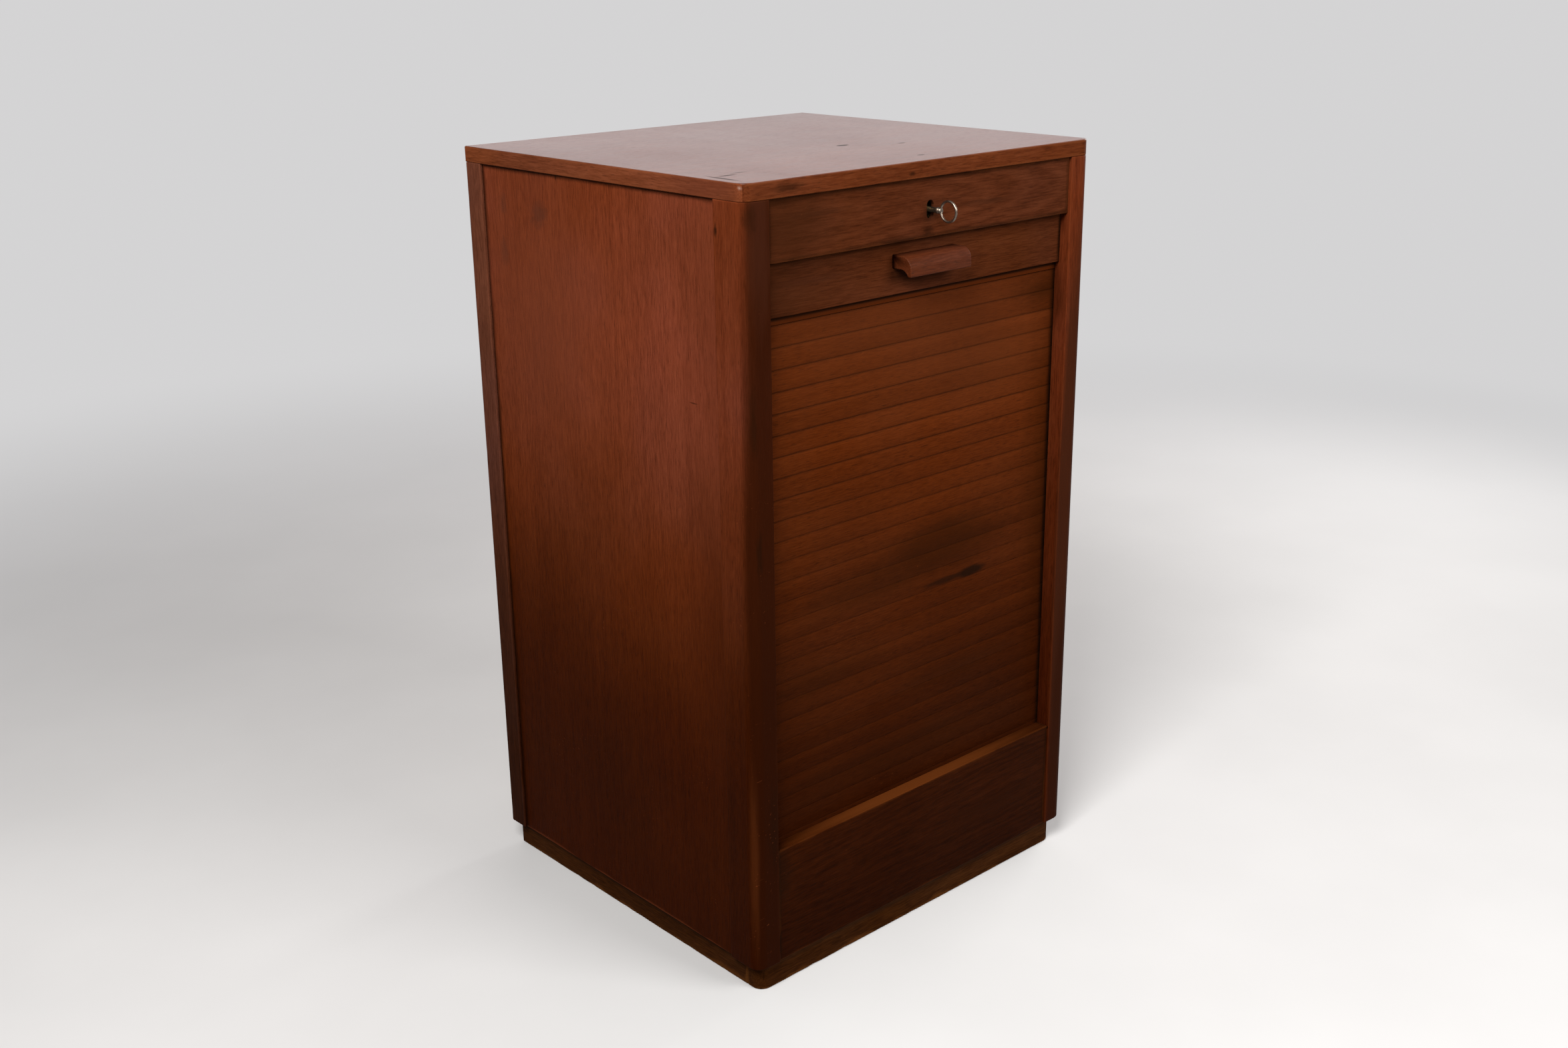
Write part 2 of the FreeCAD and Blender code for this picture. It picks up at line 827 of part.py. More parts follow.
def plinth_side():
    x_low = -side_x + plinth_side_inset
    y_low = front_y + plinth_front_inset + plinth_rail_thickness
    y_high = rear_y - plinth_rear_inset
    return block(x_low, x_low + plinth_rail_thickness, y_low, y_high, 0, plinth_height)


def plinth_rear():
    half_width = side_x - plinth_side_inset - plinth_rail_thickness
    y_high = rear_y - plinth_rear_inset
    return block(-half_width, half_width, y_high - plinth_rail_thickness, y_high, 0, plinth_height)


def pieces():
    """Every piece of the cabinet by its node name."""
    found = {
        "top_board": top_board(),
        "back_panel": back_panel(),
        "back_screws": screws(back_screw, back_screw_places(), -ALONG_Y),
        "bottom_board": bottom_board(),
        "inner_floor": inner_floor(),
        "false_back": false_back(),
        "apron": apron(),
        "lock_rail": lock_rail(),
        "plinth_front": plinth_front(),
        "plinth_rear": plinth_rear(),
        "shelf_pegs": shelf_pegs(),
        "lock_case": lock_case(),
        "lock_screws": screws(lock_screw, lock_screw_places(), -ALONG_Y),
        "lock_follower": lock_follower(),
        "lock_hook": lock_hook(),
        "key": key(),
        "lead_rail": lead_rail(),
        "pull": pull(),
        "pull_screws": screws(pull_screw, pull_screw_places(), -ALONG_Y),
        "strike_plate": strike_plate(),
        "strike_screws": screws(strike_screw, strike_screw_places(), -ALONG_Y),
        "canvas": canvas(),
    }
    sides = {
        "front_post": front_post(),
        "rear_post": rear_post(),
        "side_panel": side_panel(),
        "guide_board": guide_board(),
        "plinth": plinth_side(),
    }
    for name, left in sides.items():
        found[name + "_left"] = left
        found[name + "_right"] = mirrored(left)
    for index, level in enumerate(shelf_levels()):
        found["shelf_%d" % (index + 1)] = shelf(level)
    for index in range(slat_count):
        found["slat_%02d" % (index + 1)] = slat(index)
    return found


os.makedirs("parts", exist_ok=True)
for node, shape in pieces().items():
    shape.exportStep("parts/%s.step" % node)
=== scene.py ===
"""Looks of a tambour cabinet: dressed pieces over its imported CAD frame, in metres."""

import json
import logging
import math
from dataclasses import dataclass, field, replace
from enum import Enum
from typing import Any, Optional, Sequence

import bmesh
import bpy
from mathutils import Matrix, Vector, noise

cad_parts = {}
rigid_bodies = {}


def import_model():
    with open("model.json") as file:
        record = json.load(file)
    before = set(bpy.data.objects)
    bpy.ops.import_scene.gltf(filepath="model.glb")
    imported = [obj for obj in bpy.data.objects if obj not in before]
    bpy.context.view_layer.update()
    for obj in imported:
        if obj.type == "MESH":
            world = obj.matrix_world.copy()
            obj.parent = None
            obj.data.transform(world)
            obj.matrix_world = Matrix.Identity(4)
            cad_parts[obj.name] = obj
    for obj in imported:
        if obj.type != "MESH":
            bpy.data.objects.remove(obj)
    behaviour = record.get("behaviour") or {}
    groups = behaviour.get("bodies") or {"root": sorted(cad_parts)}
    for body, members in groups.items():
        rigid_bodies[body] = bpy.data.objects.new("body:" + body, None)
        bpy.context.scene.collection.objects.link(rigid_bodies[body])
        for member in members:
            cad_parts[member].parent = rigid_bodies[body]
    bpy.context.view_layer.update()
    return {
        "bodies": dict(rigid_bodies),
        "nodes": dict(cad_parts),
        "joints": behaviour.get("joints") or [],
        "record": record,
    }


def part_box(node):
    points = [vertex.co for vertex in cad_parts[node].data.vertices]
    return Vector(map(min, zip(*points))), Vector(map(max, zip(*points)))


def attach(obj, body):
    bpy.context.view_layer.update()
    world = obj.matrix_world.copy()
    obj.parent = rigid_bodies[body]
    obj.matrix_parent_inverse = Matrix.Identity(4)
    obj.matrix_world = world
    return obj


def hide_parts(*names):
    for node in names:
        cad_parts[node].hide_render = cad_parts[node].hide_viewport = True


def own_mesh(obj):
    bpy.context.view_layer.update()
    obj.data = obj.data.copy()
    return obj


LOG = logging.getLogger("tambour_cabinet")

Pair = tuple[float, float]
Colour = tuple[float, float, float]
Point = tuple[float, float, float]
Box = tuple[Point, Point]
Socket = bpy.types.NodeSocket
Material = bpy.types.Material
Piece = bpy.types.Object
Surface = bmesh.types.BMesh

MM = 0.001
FULL_TURN = 2 * math.pi
FAR = 9.0
# Near-black for soot, pores, dirt, nicks and smudges, and also for painted shadows and painted shade in
# holes and gaps.
SOOT_AND_SHADOW: Colour = (0.012, 0.0042, 0.0016)


class Grain(Enum):
    """Direction of the fibres in a piece of wood."""

    ALONG_X = "XYZ"
    ALONG_Y = "YXZ"
    UPRIGHT = "ZYX"


class Graph:
    """Adds and joins the nodes of one node tree."""

    # Sockets of a Mix node that is set to colours.
    FACTOR, FIRST, SECOND, MIXED = 0, 6, 7, 2

    def __init__(self, tree: bpy.types.NodeTree) -> None:
        """Keeps the tree."""
        self.tree = tree

    def add(self, kind: str, inputs: Optional[dict[Any, Any]] = None, **settings: Any) -> bpy.types.Node:
        """Adds a node.

        Args:
            kind: Blender's type of the node.
            inputs: a value or an output socket for each input, by name or number.
            settings: properties of the node.

        Returns:
            The new node.
        """
        node = self.tree.nodes.new(kind)
        for name, value in settings.items():
            setattr(node, name, value)
        for key, value in (inputs or {}).items():
            self.feed(node.inputs[key], value)
        return node

    def feed(self, socket: Socket, value: Any) -> None:
        """Links or sets one input.

        Args:
            socket: the input.
            value: an output socket, or a plain value.
        """
        if isinstance(value, Socket):
            self.tree.links.new(value, socket)
        elif socket.type == "RGBA" and len(value) == 3:
            socket.default_value = (*value, 1.0)
        else:
            socket.default_value = value

    def math(self, operation: str, *values: Any, clamp: bool = False) -> Socket:
        """Adds a Math node.

        Args:
            operation: the node's operation.
            values: its inputs in order.
            clamp: True to keep the result from 0 to 1.

        Returns:
            The result's socket.
        """
        node = self.add("ShaderNodeMath", dict(enumerate(values)), operation=operation, use_clamp=clamp)
        return node.outputs[0]

    def vector(self, operation: str, *values: Any) -> Socket:
        """Adds a Vector Math node.

        Args:
            operation: the node's operation.
            values: its inputs in order.

        Returns:
            The result's socket, a number for a length.
        """
        node = self.add("ShaderNodeVectorMath", dict(enumerate(values)), operation=operation)
        return node.outputs["Value" if operation == "LENGTH" else "Vector"]

    def span(self, value: Any, low: Any, high: Any, first: float = 0.0, last: float = 1.0) -> Socket:
        """Eases a value from one range to another.

        Args:
            value: the number that is mapped.
            low: value that gives first.
            high: value that gives last.
            first: result at low.
            last: result at high.

        Returns:
            The result's socket.
        """
        inputs = {"Value": value, "From Min": low, "From Max": high, "To Min": first, "To Max": last}
        return self.add("ShaderNodeMapRange", inputs, interpolation_type="SMOOTHSTEP").outputs[0]

    def mix(self, factor: Any, first: Any, second: Any, blend: str = "MIX") -> Socket:
        """Mixes two colours.

        Args:
            factor: share of the second colour.
            first: colour at 0.
            second: colour at 1.
            blend: the node's blend type.

        Returns:
            The mixed colour's socket.
        """
        inputs = {self.FACTOR: factor, self.FIRST: first, self.SECOND: second}
        return self.add("ShaderNodeMix", inputs, data_type="RGBA", blend_type=blend).outputs[self.MIXED]

    def ramp(self, value: Any, stops: Sequence[tuple[float, Colour]]) -> Socket:
        """Turns a value into a colour.

        Args:
            value: the number from 0 to 1.
            stops: places and colours of the ramp.

        Returns:
            The colour's socket.
        """
        node = self.add("ShaderNodeValToRGB", {0: value})
        elements = node.color_ramp.elements
        while len(elements) < len(stops):
            elements.new(0.5)
        for element, (place, colour) in zip(elements, stops):
            element.position = place
            element.color = (*colour, 1.0)
        return node.outputs[0]

    def cloud(self, vector: Any, scale: Any, detail: float = 2.0, rough: float = 0.5) -> Socket:
        """Adds a noise pattern.

        Args:
            vector: its coordinates.
            scale: its scale per metre.
            detail: its octaves.
            rough: its roughness.

        Returns:
            The pattern's value, about 0.5 on average.
        """
        inputs = {"Vector": vector, "Scale": scale, "Detail": detail, "Roughness": rough}
        return self.add("ShaderNodeTexNoise", inputs).outputs[0]

    def bump(self, height: Socket, strength: float, distance: float) -> Socket:
        """Adds a Bump node.

        Args:
            height: the relief.
            strength: its strength.
            distance: depth of the full relief.

        Returns:
            The normal's socket.
        """
        inputs = {"Strength": strength, "Distance": distance, "Height": height}
        return self.add("ShaderNodeBump", inputs).outputs[0]

    def axes(self, vector: Any) -> tuple[Socket, ...]:
        """Splits a vector into its three numbers."""
        return tuple(self.add("ShaderNodeSeparateXYZ", {0: vector}).outputs)

    def join(self, x: Any, y: Any, z: Any) -> Socket:
        """Makes a vector of three numbers."""
        return self.add("ShaderNodeCombineXYZ", {0: x, 1: y, 2: z}).outputs[0]


class ShaderKit:
    """Node groups that the materials share, each built once."""

    SOCKETS = {"v": "NodeSocketVector", "f": "NodeSocketFloat"}
    RING_DRIFT = (2.1, 9.0, 9.0)
    RING_STRETCH = (0.12, 1.0, 1.0)
    RING_CREST = 1.6
    GRAIN_ROUGHNESS = 0.6
    GRAIN_LAYERS = {
        "Streak": ((2.4, 0.16, 0.16), 3.0, (0.25, 0.75)),
        "Fibre": ((60.0, 1.0, 1.0), 3.0, (0.25, 0.75)),
        "Pores": ((100.0, 1.6, 1.6), 1.0, (0.58, 0.72)),
    }
    RUB_PATCHES = 23.0
    RUB_PATCH_EDGE = (0.32, 0.70)
    RUB_SPREAD = (1.5, 0.15)
    RUB_FUZZ = 420.0
    RUB_FUZZ_SHARE = 0.6
    RUB_FADE = (1.0, 0.25)
    GRIME_AND_SHADE_PATCHES = 31.0
    GRIME_AND_SHADE_SPREAD = (1.5, 0.25)
    TORN_SCALE = 1.7
    TORN_DETAIL = 4.0
    TORN_ROUGHNESS = 0.65
    SCRATCH_LEANS = ((0.35, 0.2, 0.5), (-0.6, 0.4, -0.9))
    SCRATCH_STRETCH = (1.0, 46.0, 46.0)
    SCRATCH_EDGE = (0.80, 0.86)
    SCRATCH_PATCHES = 21.0
    SCRATCH_PATCH_EDGE = (0.50, 0.66)
    TARNISH_EDGE = (0.40, 0.68)
    POLISH_STRETCH = (1.0, 7.0, 7.0)
    POLISH_SCALE = 3.0

    def __init__(self) -> None:
        """Builds every group."""
        self.groups = {
            "timber_grain": self.timber_grain(),
            "board_edges": self.board_edges(),
            "rubbed_edges": self.rubbed_edges(),
            "corner_grime_and_shade": self.corner_grime_and_shade(),
            "spot": self.spot(),
            "scratches": self.scratches(),
            "metal_wear": self.metal_wear(),
        }

    def start(self, name: str, inputs: dict[str, str], outputs: Sequence[str]) -> tuple[Graph, Any, Any]:
        """Starts a group.

        Args:
            name: the group's name.
            inputs: v for a vector or f for a number, by the input's name.
            outputs: names of the values that it gives.

        Returns:
            The graph, the sockets of its inputs by name, and those of its outputs.
        """
        tree = bpy.data.node_groups.new(name, "ShaderNodeTree")
        for key, kind in inputs.items():
            tree.interface.new_socket(key, in_out="INPUT", socket_type=self.SOCKETS[kind])
        for key in outputs:
            tree.interface.new_socket(key, in_out="OUTPUT", socket_type=self.SOCKETS["f"])
        graph = Graph(tree)
        return graph, graph.add("NodeGroupInput").outputs, graph.add("NodeGroupOutput").inputs

    @staticmethod
    def gaps(g: Graph, given: Any) -> tuple[Socket, ...]:
        """Distances from a point to the nearer side of a box, along each axis.

        Args:
            g: the group's graph.
            given: its inputs Vector, Low and High.

        Returns:
            The three distances.
        """
        low = g.vector("SUBTRACT", given["Vector"], given["Low"])
        high = g.vector("SUBTRACT", given["High"], given["Vector"])
        return g.axes(g.vector("MINIMUM", low, high))

    def timber_grain(self) -> bpy.types.NodeTree:
        """Growth rings, streaks, fibres and pores along the vector's X.

        Returns:
            The group.
        """
        inputs = {"Vector": "v", "Heart": "v", "Rings": "f", "Wander": "f", "Fibre": "f"}
        g, given, made = self.start("timber_grain", inputs, ("Figure", *self.GRAIN_LAYERS))
        along = given["Vector"]
        drift = g.cloud(g.vector("MULTIPLY", along, self.RING_DRIFT), 1.0, detail=3.0)
        off = g.vector("MULTIPLY", g.vector("SUBTRACT", along, given["Heart"]), self.RING_STRETCH)
        away = g.math("MULTIPLY", g.vector("LENGTH", off), given["Rings"])
        bent = g.math("MULTIPLY_ADD", g.math("SUBTRACT", drift, 0.5), given["Wander"], away)
        wave = g.math("MULTIPLY_ADD", g.math("SINE", g.math("MULTIPLY", bent, FULL_TURN)), 0.5, 0.5)
        g.feed(made["Figure"], g.math("POWER", wave, self.RING_CREST))
        across = g.join(1.0, given["Fibre"], given["Fibre"])
        for key, (stretch, detail, edge) in self.GRAIN_LAYERS.items():
            scale = g.vector("MULTIPLY", across, stretch)
            value = g.cloud(g.vector("MULTIPLY", along, scale), 1.0, detail, self.GRAIN_ROUGHNESS)
            g.feed(made[key], g.span(value, *edge))
        return g.tree

    def board_edges(self) -> bpy.types.NodeTree:
        """Distance to the nearest edge of a board between two corners.

        Returns:
            The group.
        """
        g, given, made = self.start("board_edges", {"Vector": "v", "Low": "v", "High": "v"}, ("Distance",))
        x, y, z = self.gaps(g, given)
        larger = g.math("MINIMUM", g.math("MAXIMUM", x, y), z)
        g.feed(made["Distance"], g.math("MAXIMUM", g.math("MINIMUM", x, y), larger))
        return g.tree

    def rubbed_edges(self) -> bpy.types.NodeTree:
        """Uneven band of wear beside the edges.

        Returns:
            The group.
        """
        inputs = {"Vector": "v", "Distance": "f", "Width": "f"}
        g, given, made = self.start("rubbed_edges", inputs, ("Mask",))
        broad = g.span(g.cloud(given["Vector"], self.RUB_PATCHES, detail=3.0), *self.RUB_PATCH_EDGE)
        fine = g.cloud(given["Vector"], self.RUB_FUZZ)
        reach = g.math("MULTIPLY", given["Width"], g.math("MULTIPLY_ADD", broad, *self.RUB_SPREAD))
        share = g.math("DIVIDE", given["Distance"], reach)
        rough = g.math("MULTIPLY_ADD", g.math("SUBTRACT", fine, 0.5), self.RUB_FUZZ_SHARE, share)
        g.feed(made["Mask"], g.span(rough, *self.RUB_FADE))
        return g.tree

    def corner_grime_and_shade(self) -> bpy.types.NodeTree:
        """Dirt and painted shade along the borders of a space between two corners.

        Returns:
            The group.
        """
        inputs = {"Vector": "v", "Low": "v", "High": "v", "Reach": "f"}
        g, given, made = self.start("corner_grime_and_shade", inputs, ("Mask",))
        x, y, z = self.gaps(g, given)
        near = g.math("MINIMUM", g.math("MINIMUM", x, y), z)
        patches = g.cloud(given["Vector"], self.GRIME_AND_SHADE_PATCHES, detail=3.0)
        uneven = g.math("MULTIPLY_ADD", patches, *self.GRIME_AND_SHADE_SPREAD)
        g.feed(made["Mask"], g.span(near, g.math("MULTIPLY", given["Reach"], uneven), 0.0))
        return g.tree

    def spot(self) -> bpy.types.NodeTree:
        """Ragged spot round a centre.

        Returns:
            The group.
        """
        inputs = {"Vector": "v", "Centre": "v", "Reach": "v", "Ragged": "f", "Core": "f"}
        g, given, made = self.start("spot", inputs, ("Mask",))
        off = g.vector("DIVIDE", g.vector("SUBTRACT", given["Vector"], given["Centre"]), given["Reach"])
        scaled = g.vector("DIVIDE", given["Vector"], given["Reach"])
        torn = g.cloud(scaled, self.TORN_SCALE, self.TORN_DETAIL, self.TORN_ROUGHNESS)
        away = g.vector("LENGTH", off)
        far = g.math("MULTIPLY_ADD", g.math("SUBTRACT", torn, 0.5), given["Ragged"], away)
        g.feed(made["Mask"], g.span(far, 1.0, given["Core"]))
        return g.tree

    def scratches(self) -> bpy.types.NodeTree:
        """Short fine scratches that lean two ways.

        Returns:
            The group.
        """
        g, given, made = self.start("scratches", {"Vector": "v", "Scale": "f"}, ("Mask",))
        found = []
        for lean in self.SCRATCH_LEANS:
            turned = g.add("ShaderNodeMapping", {"Vector": given["Vector"], "Rotation": lean}).outputs[0]
            scaled = g.vector("MULTIPLY", turned, g.join(given["Scale"], given["Scale"], given["Scale"]))
            found.append(g.cloud(g.vector("MULTIPLY", scaled, self.SCRATCH_STRETCH), 1.0, detail=0.0))
        shown = g.span(g.cloud(given["Vector"], self.SCRATCH_PATCHES), *self.SCRATCH_PATCH_EDGE)
        line = g.span(g.math("MAXIMUM", *found), *self.SCRATCH_EDGE)
        g.feed(made["Mask"], g.math("MULTIPLY", line, shown))
        return g.tree

    def metal_wear(self) -> bpy.types.NodeTree:
        """Tarnish clouds and fine polishing marks.

        Returns:
            The group.
        """
        g, given, made = self.start("metal_wear", {"Vector": "v", "Scale": "f"}, ("Tarnish", "Marks"))
        scale = g.join(given["Scale"], given["Scale"], given["Scale"])
        scaled = g.vector("MULTIPLY", given["Vector"], scale)
        g.feed(made["Tarnish"], g.span(g.cloud(scaled, 1.0), *self.TARNISH_EDGE))
        drawn = g.vector("MULTIPLY", scaled, self.POLISH_STRETCH)
        g.feed(made["Marks"], g.cloud(drawn, self.POLISH_SCALE, detail=3.0))
        return g.tree

    def use(self, graph: Graph, name: str, **inputs: Any) -> Any:
        """Places a group in a material.

        Args:
            graph: the material's graph.
            name: the group's name.
            inputs: its inputs, with their names in lower case.

        Returns:
            The group's outputs.
        """
        node = graph.add("ShaderNodeGroup", node_tree=self.groups[name])
        for key, value in inputs.items():
            graph.feed(node.inputs[key.capitalize()], value)
        return node.outputs


@dataclass(frozen=True)
class Spot:
    """A patch of colour at one place of a piece, full within the share core of its reach: one of its marks,
    or a painted shadow, painted shade or painted highlight.
    """

    centre: Point
    reach: Point
    colour: Colour
    strength: float = 0.8
    ragged: float = 0.9
    core: float = 0.2

    def at(self, x: float = 0.0, y: float = 0.0, z: float = 0.0) -> "Spot":
        """The same mark, moved."""
        return replace(self, centre=(self.centre[0] + x, self.centre[1] + y, self.centre[2] + z))


@dataclass(frozen=True)
class WoodFinish:
    """A stained or bare wood.

    Dark, middle and light colour the grain, worn the rubbed edges, soot the pores, the dirt and the painted
    shade in the corners. Rings and fibre are counts per metre. Foot is the painted shade at the lower end,
    and deepen holds the powers by which green and blue follow it. Shine and sheen set the plain gloss,
    polish and haze the coat over it.
    """

    dark: Colour
    middle: Colour
    light: Colour
    worn: Colour
    # Near-black of the pores and the joints, and of the dirt and painted shade at the borders.
    soot_and_shade: Colour = SOOT_AND_SHADOW
    rings: float = 55.0
    wander: float = 2.2
    fibre: float = 900.0
    figure: float = 0.18
    streak: float = 0.22
    fleck: float = 0.42
    contrast: float = 1.0
    smooth: float = 0.34
    rough: float = 0.55
    rub: float = 0.75
    rub_width: float = 2.6 * MM
    # Strength and reach of the dirt and painted shade along the borders of a piece's box.
    grime_and_shade: float = 0.8
    grime_and_shade_reach: float = 6.0 * MM
    foot_shade: float = 0.42
    deepen: Pair = (1.2, 1.7)
    bump: float = 0.22
    shine: float = 0.014
    polish: float = 0.0
    haze: float = 0.36
    sheen: Colour = (1.0, 0.62, 0.40)


@dataclass(frozen=True)
class MetalFinish:
    """A bare metal with tarnish."""

    bright: Colour
    tarnished: Colour
    smooth: float = 0.24
    rough: float = 0.5
    scale: float = 90.0
    bump: float = 0.12


@dataclass(frozen=True)
class ClothFinish:
    """A plain woven cloth."""

    warp: Colour
    weft: Colour
    stain: Colour
    threads: float = 900.0
    slub: Point = (60.0, 60.0, 900.0)
    slub_edge: Pair = (0.5, 0.8)
    slub_show: float = 0.35
    stain_scale: float = 9.0
    stain_edge: Pair = (0.45, 0.8)
    stain_show: float = 0.7
    smooth: float = 0.8
    rough: float = 0.95
    bump: float = 0.6


@dataclass(frozen=True)
class WoodPlan:
    """How one piece of wood is cut, and what has happened to it.

    The box gives the edges that wear, heart is the middle of the growth rings seen along the grain, seed
    shifts the pattern, dirt is the space whose borders hold dirt and painted shade, spots are its marks and
    the shadows, shade and highlights painted on it, joints are the top and the pitch of the slats that it is
    cut into, and foot are the heights between which its painted shade at the lower end fades out.
    """

    finish: WoodFinish
    name: str
    grain: Grain
    box: Box
    heart: Point = (0.0, 0.03, -0.12)
    seed: float = 0.0
    dirt_and_shade_box: Optional[Box] = None
    spots: Sequence[Spot] = ()
    joints: Optional[Pair] = None
    foot_shade: Optional[Pair] = (0.02, 0.74)


class Finisher:
    """Makes the materials."""

    SEED_SHIFT = (0.37, 0.013, 0.007)
    TONE_STOPS = (0.08, 0.48, 0.92)
    BLOTCH_SCALE = 6.5
    BLOTCH_EDGE = (0.25, 0.75)
    BLOTCH_RANGE = (0.88, 1.10)
    HUE_SCALE = 5.5
    HUE_EDGE = (0.3, 0.7)
    HUE_SWAY = (0.05, 0.22)
    RUB_FIBRE = 0.5
    SCRATCH_SCALE = 17.0
    SCRATCH_SHOW = 0.35
    SCRATCH_DEPTH = 0.8
    GLOSS_FIBRE = 0.4
    GLOSS_PORES = 0.6
    GLOSS_RUB = 0.5
    RELIEF_FIBRE = 0.35
    RELIEF = 0.4 * MM
    POLISH_EDGE = (1.2 * MM, 0.3 * MM)
    POLISH_SCALE = 7.0
    POLISH_RANGE = (0.82, 1.0)
    POLISH_GRAIN = 0.78
    SLAT_TONES = (0.12, 0.94)
    JOINT_WIDTH = (1.9 * MM, 0.1 * MM)
    JOINT_ROWS = (16, 4)
    JOINT_DIRT = (0.12, 0.50)
    METAL_MARKS = 0.35
    METAL_TARNISH = 0.65
    METAL_EDGE = (0.1, 0.9)
    METAL_RELIEF = 0.1 * MM

    def __init__(self, kit: ShaderKit) -> None:
        """Keeps the shared groups."""
        self.kit = kit

    @staticmethod
    def start(name: str) -> tuple[Material, Graph, bpy.types.Node, Socket]:
        """Starts a material.

        Args:
            name: the material's name.

        Returns:
            The material, its graph, its shader and the Object coordinates.
        """
        material = bpy.data.materials.new(name)
        material.use_nodes = True
        graph = Graph(material.node_tree)
        shader = material.node_tree.nodes["Principled BSDF"]
        place = graph.add("ShaderNodeTexCoord").outputs["Object"]
        return material, graph, shader, place

    def wood(self, plan: WoodPlan) -> Material:
        """Makes the material of one piece of wood.

        Args:
            plan: its finish, its cut, its marks, and the shade and highlights painted on it.

        Returns:
            The material.
        """
        finish = plan.finish
        material, g, shader, place = self.start(plan.name)
        timber = self.timber(g, plan, place)
        colour = self.stained_and_shaded(g, plan, place, timber)
        edge = self.kit.use(g, "board_edges", vector=place, low=plan.box[0], high=plan.box[1])[0]
        rub = self.kit.use(g, "rubbed_edges", vector=place, distance=edge, width=finish.rub_width)[0]
        rub = g.math("MULTIPLY", rub, finish.rub)
        bare = g.mix(g.math("MULTIPLY", timber["Fibre"], self.RUB_FIBRE), finish.worn, finish.middle)
        colour, marks_and_painted_light = self.marks_and_painted_light(g, plan, place, g.mix(rub, colour, bare))
        lines = self.kit.use(g, "scratches", vector=place, scale=self.SCRATCH_SCALE)[0]
        colour = g.mix(g.math("MULTIPLY", lines, self.SCRATCH_SHOW), colour, finish.worn)
        g.feed(shader.inputs["Base Color"], colour)
        pores = g.math("MULTIPLY", timber["Pores"], self.GLOSS_PORES)
        gloss = g.math("MULTIPLY_ADD", timber["Fibre"], self.GLOSS_FIBRE, pores, clamp=True)
        gloss = g.math("ADD", gloss, g.math("MULTIPLY", rub, self.GLOSS_RUB), clamp=True)
        g.feed(shader.inputs["Roughness"], g.span(gloss, 0.0, 1.0, finish.smooth, finish.rough))
        sunk = g.math("MULTIPLY", timber["Pores"], -1.0)
        height = g.math("MULTIPLY_ADD", timber["Fibre"], self.RELIEF_FIBRE, sunk)
        height = g.math("SUBTRACT", height, g.math("MULTIPLY", lines, self.SCRATCH_DEPTH))
        g.feed(shader.inputs["Normal"], g.bump(height, finish.bump, self.RELIEF))
        g.feed(shader.inputs["Specular Tint"], finish.sheen)
        g.feed(shader.inputs["Specular IOR Level"], finish.shine)
        if finish.polish:
            weight = self.polished(g, plan, place, gloss, marks_and_painted_light)
            g.feed(shader.inputs["Coat Weight"], weight)
            g.feed(shader.inputs["Coat Roughness"], finish.haze)
        return material

    def timber(self, g: Graph, plan: WoodPlan, place: Socket) -> Any:
        """Cuts the piece from its tree.

        Args:
            g: the material's graph.
            plan: the piece of wood.
            place: the point's coordinates.

        Returns:
            The sockets of its grain by name.
        """
        axes = dict(zip("XYZ", g.axes(place)))
        turned = g.join(*(axes[letter] for letter in plan.grain.value))
        along = g.vector("ADD", turned, tuple(shift * plan.seed for shift in self.SEED_SHIFT))
        finish = plan.finish
        return self.kit.use(
            g, "timber_grain", vector=along, heart=plan.heart, rings=finish.rings, wander=finish.wander,
            fibre=finish.fibre,
        )

    def stained_and_shaded(self, g: Graph, plan: WoodPlan, place: Socket, timber: Any) -> Socket:
        """Colours the grain, with painted shade towards the lower end, dark joints, and dirt and painted
        shade in the corners.

        Args:
            g: the material's graph.
            plan: the piece of wood.
            place: the point's coordinates.
            timber: sockets of its grain.

        Returns:
            The colour.
        """
        finish = plan.finish
        tone = g.math("MULTIPLY", timber["Streak"], finish.streak)
        tone = g.math("MULTIPLY_ADD", timber["Figure"], finish.figure, tone)
        tone = g.math("MULTIPLY_ADD", timber["Fibre"], 1.0 - finish.figure - finish.streak, tone)
        tone = g.math("MULTIPLY_ADD", g.math("SUBTRACT", tone, 0.5), finish.contrast, 0.5, clamp=True)
        colour = g.ramp(tone, tuple(zip(self.TONE_STOPS, (finish.dark, finish.middle, finish.light))))
        colour = g.mix(g.math("MULTIPLY", timber["Pores"], finish.fleck), colour, finish.soot_and_shade)
        blotches = g.cloud(place, self.BLOTCH_SCALE, detail=3.0)
        shade = g.span(blotches, *self.BLOTCH_EDGE, *self.BLOTCH_RANGE)
        z = g.axes(place)[2]
        if plan.joints:
            shade = g.math("MULTIPLY", shade, self.slat_tone(g, z, *plan.joints))
        # Painted shade: the colour darkens towards the floor, fading out between two heights.
        if plan.foot_shade:
            shade = g.math("MULTIPLY", shade, g.span(z, *plan.foot_shade, finish.foot_shade, 1.0))
        colour = g.mix(1.0, colour, self.deepened(g, plan, place, shade), "MULTIPLY")
        if plan.joints:
            colour = g.mix(self.joint_dirt(g, z, *plan.joints), colour, finish.soot_and_shade)
        # Dirt and painted shade along the borders of the box: darker near corners, joints and overhangs.
        if plan.dirt_and_shade_box:
            low, high = plan.dirt_and_shade_box
            reach = finish.grime_and_shade_reach
            mask = self.kit.use(g, "corner_grime_and_shade", vector=place, low=low, high=high, reach=reach)[0]
            colour = g.mix(g.math("MULTIPLY", mask, finish.grime_and_shade), colour, finish.soot_and_shade)
        return colour

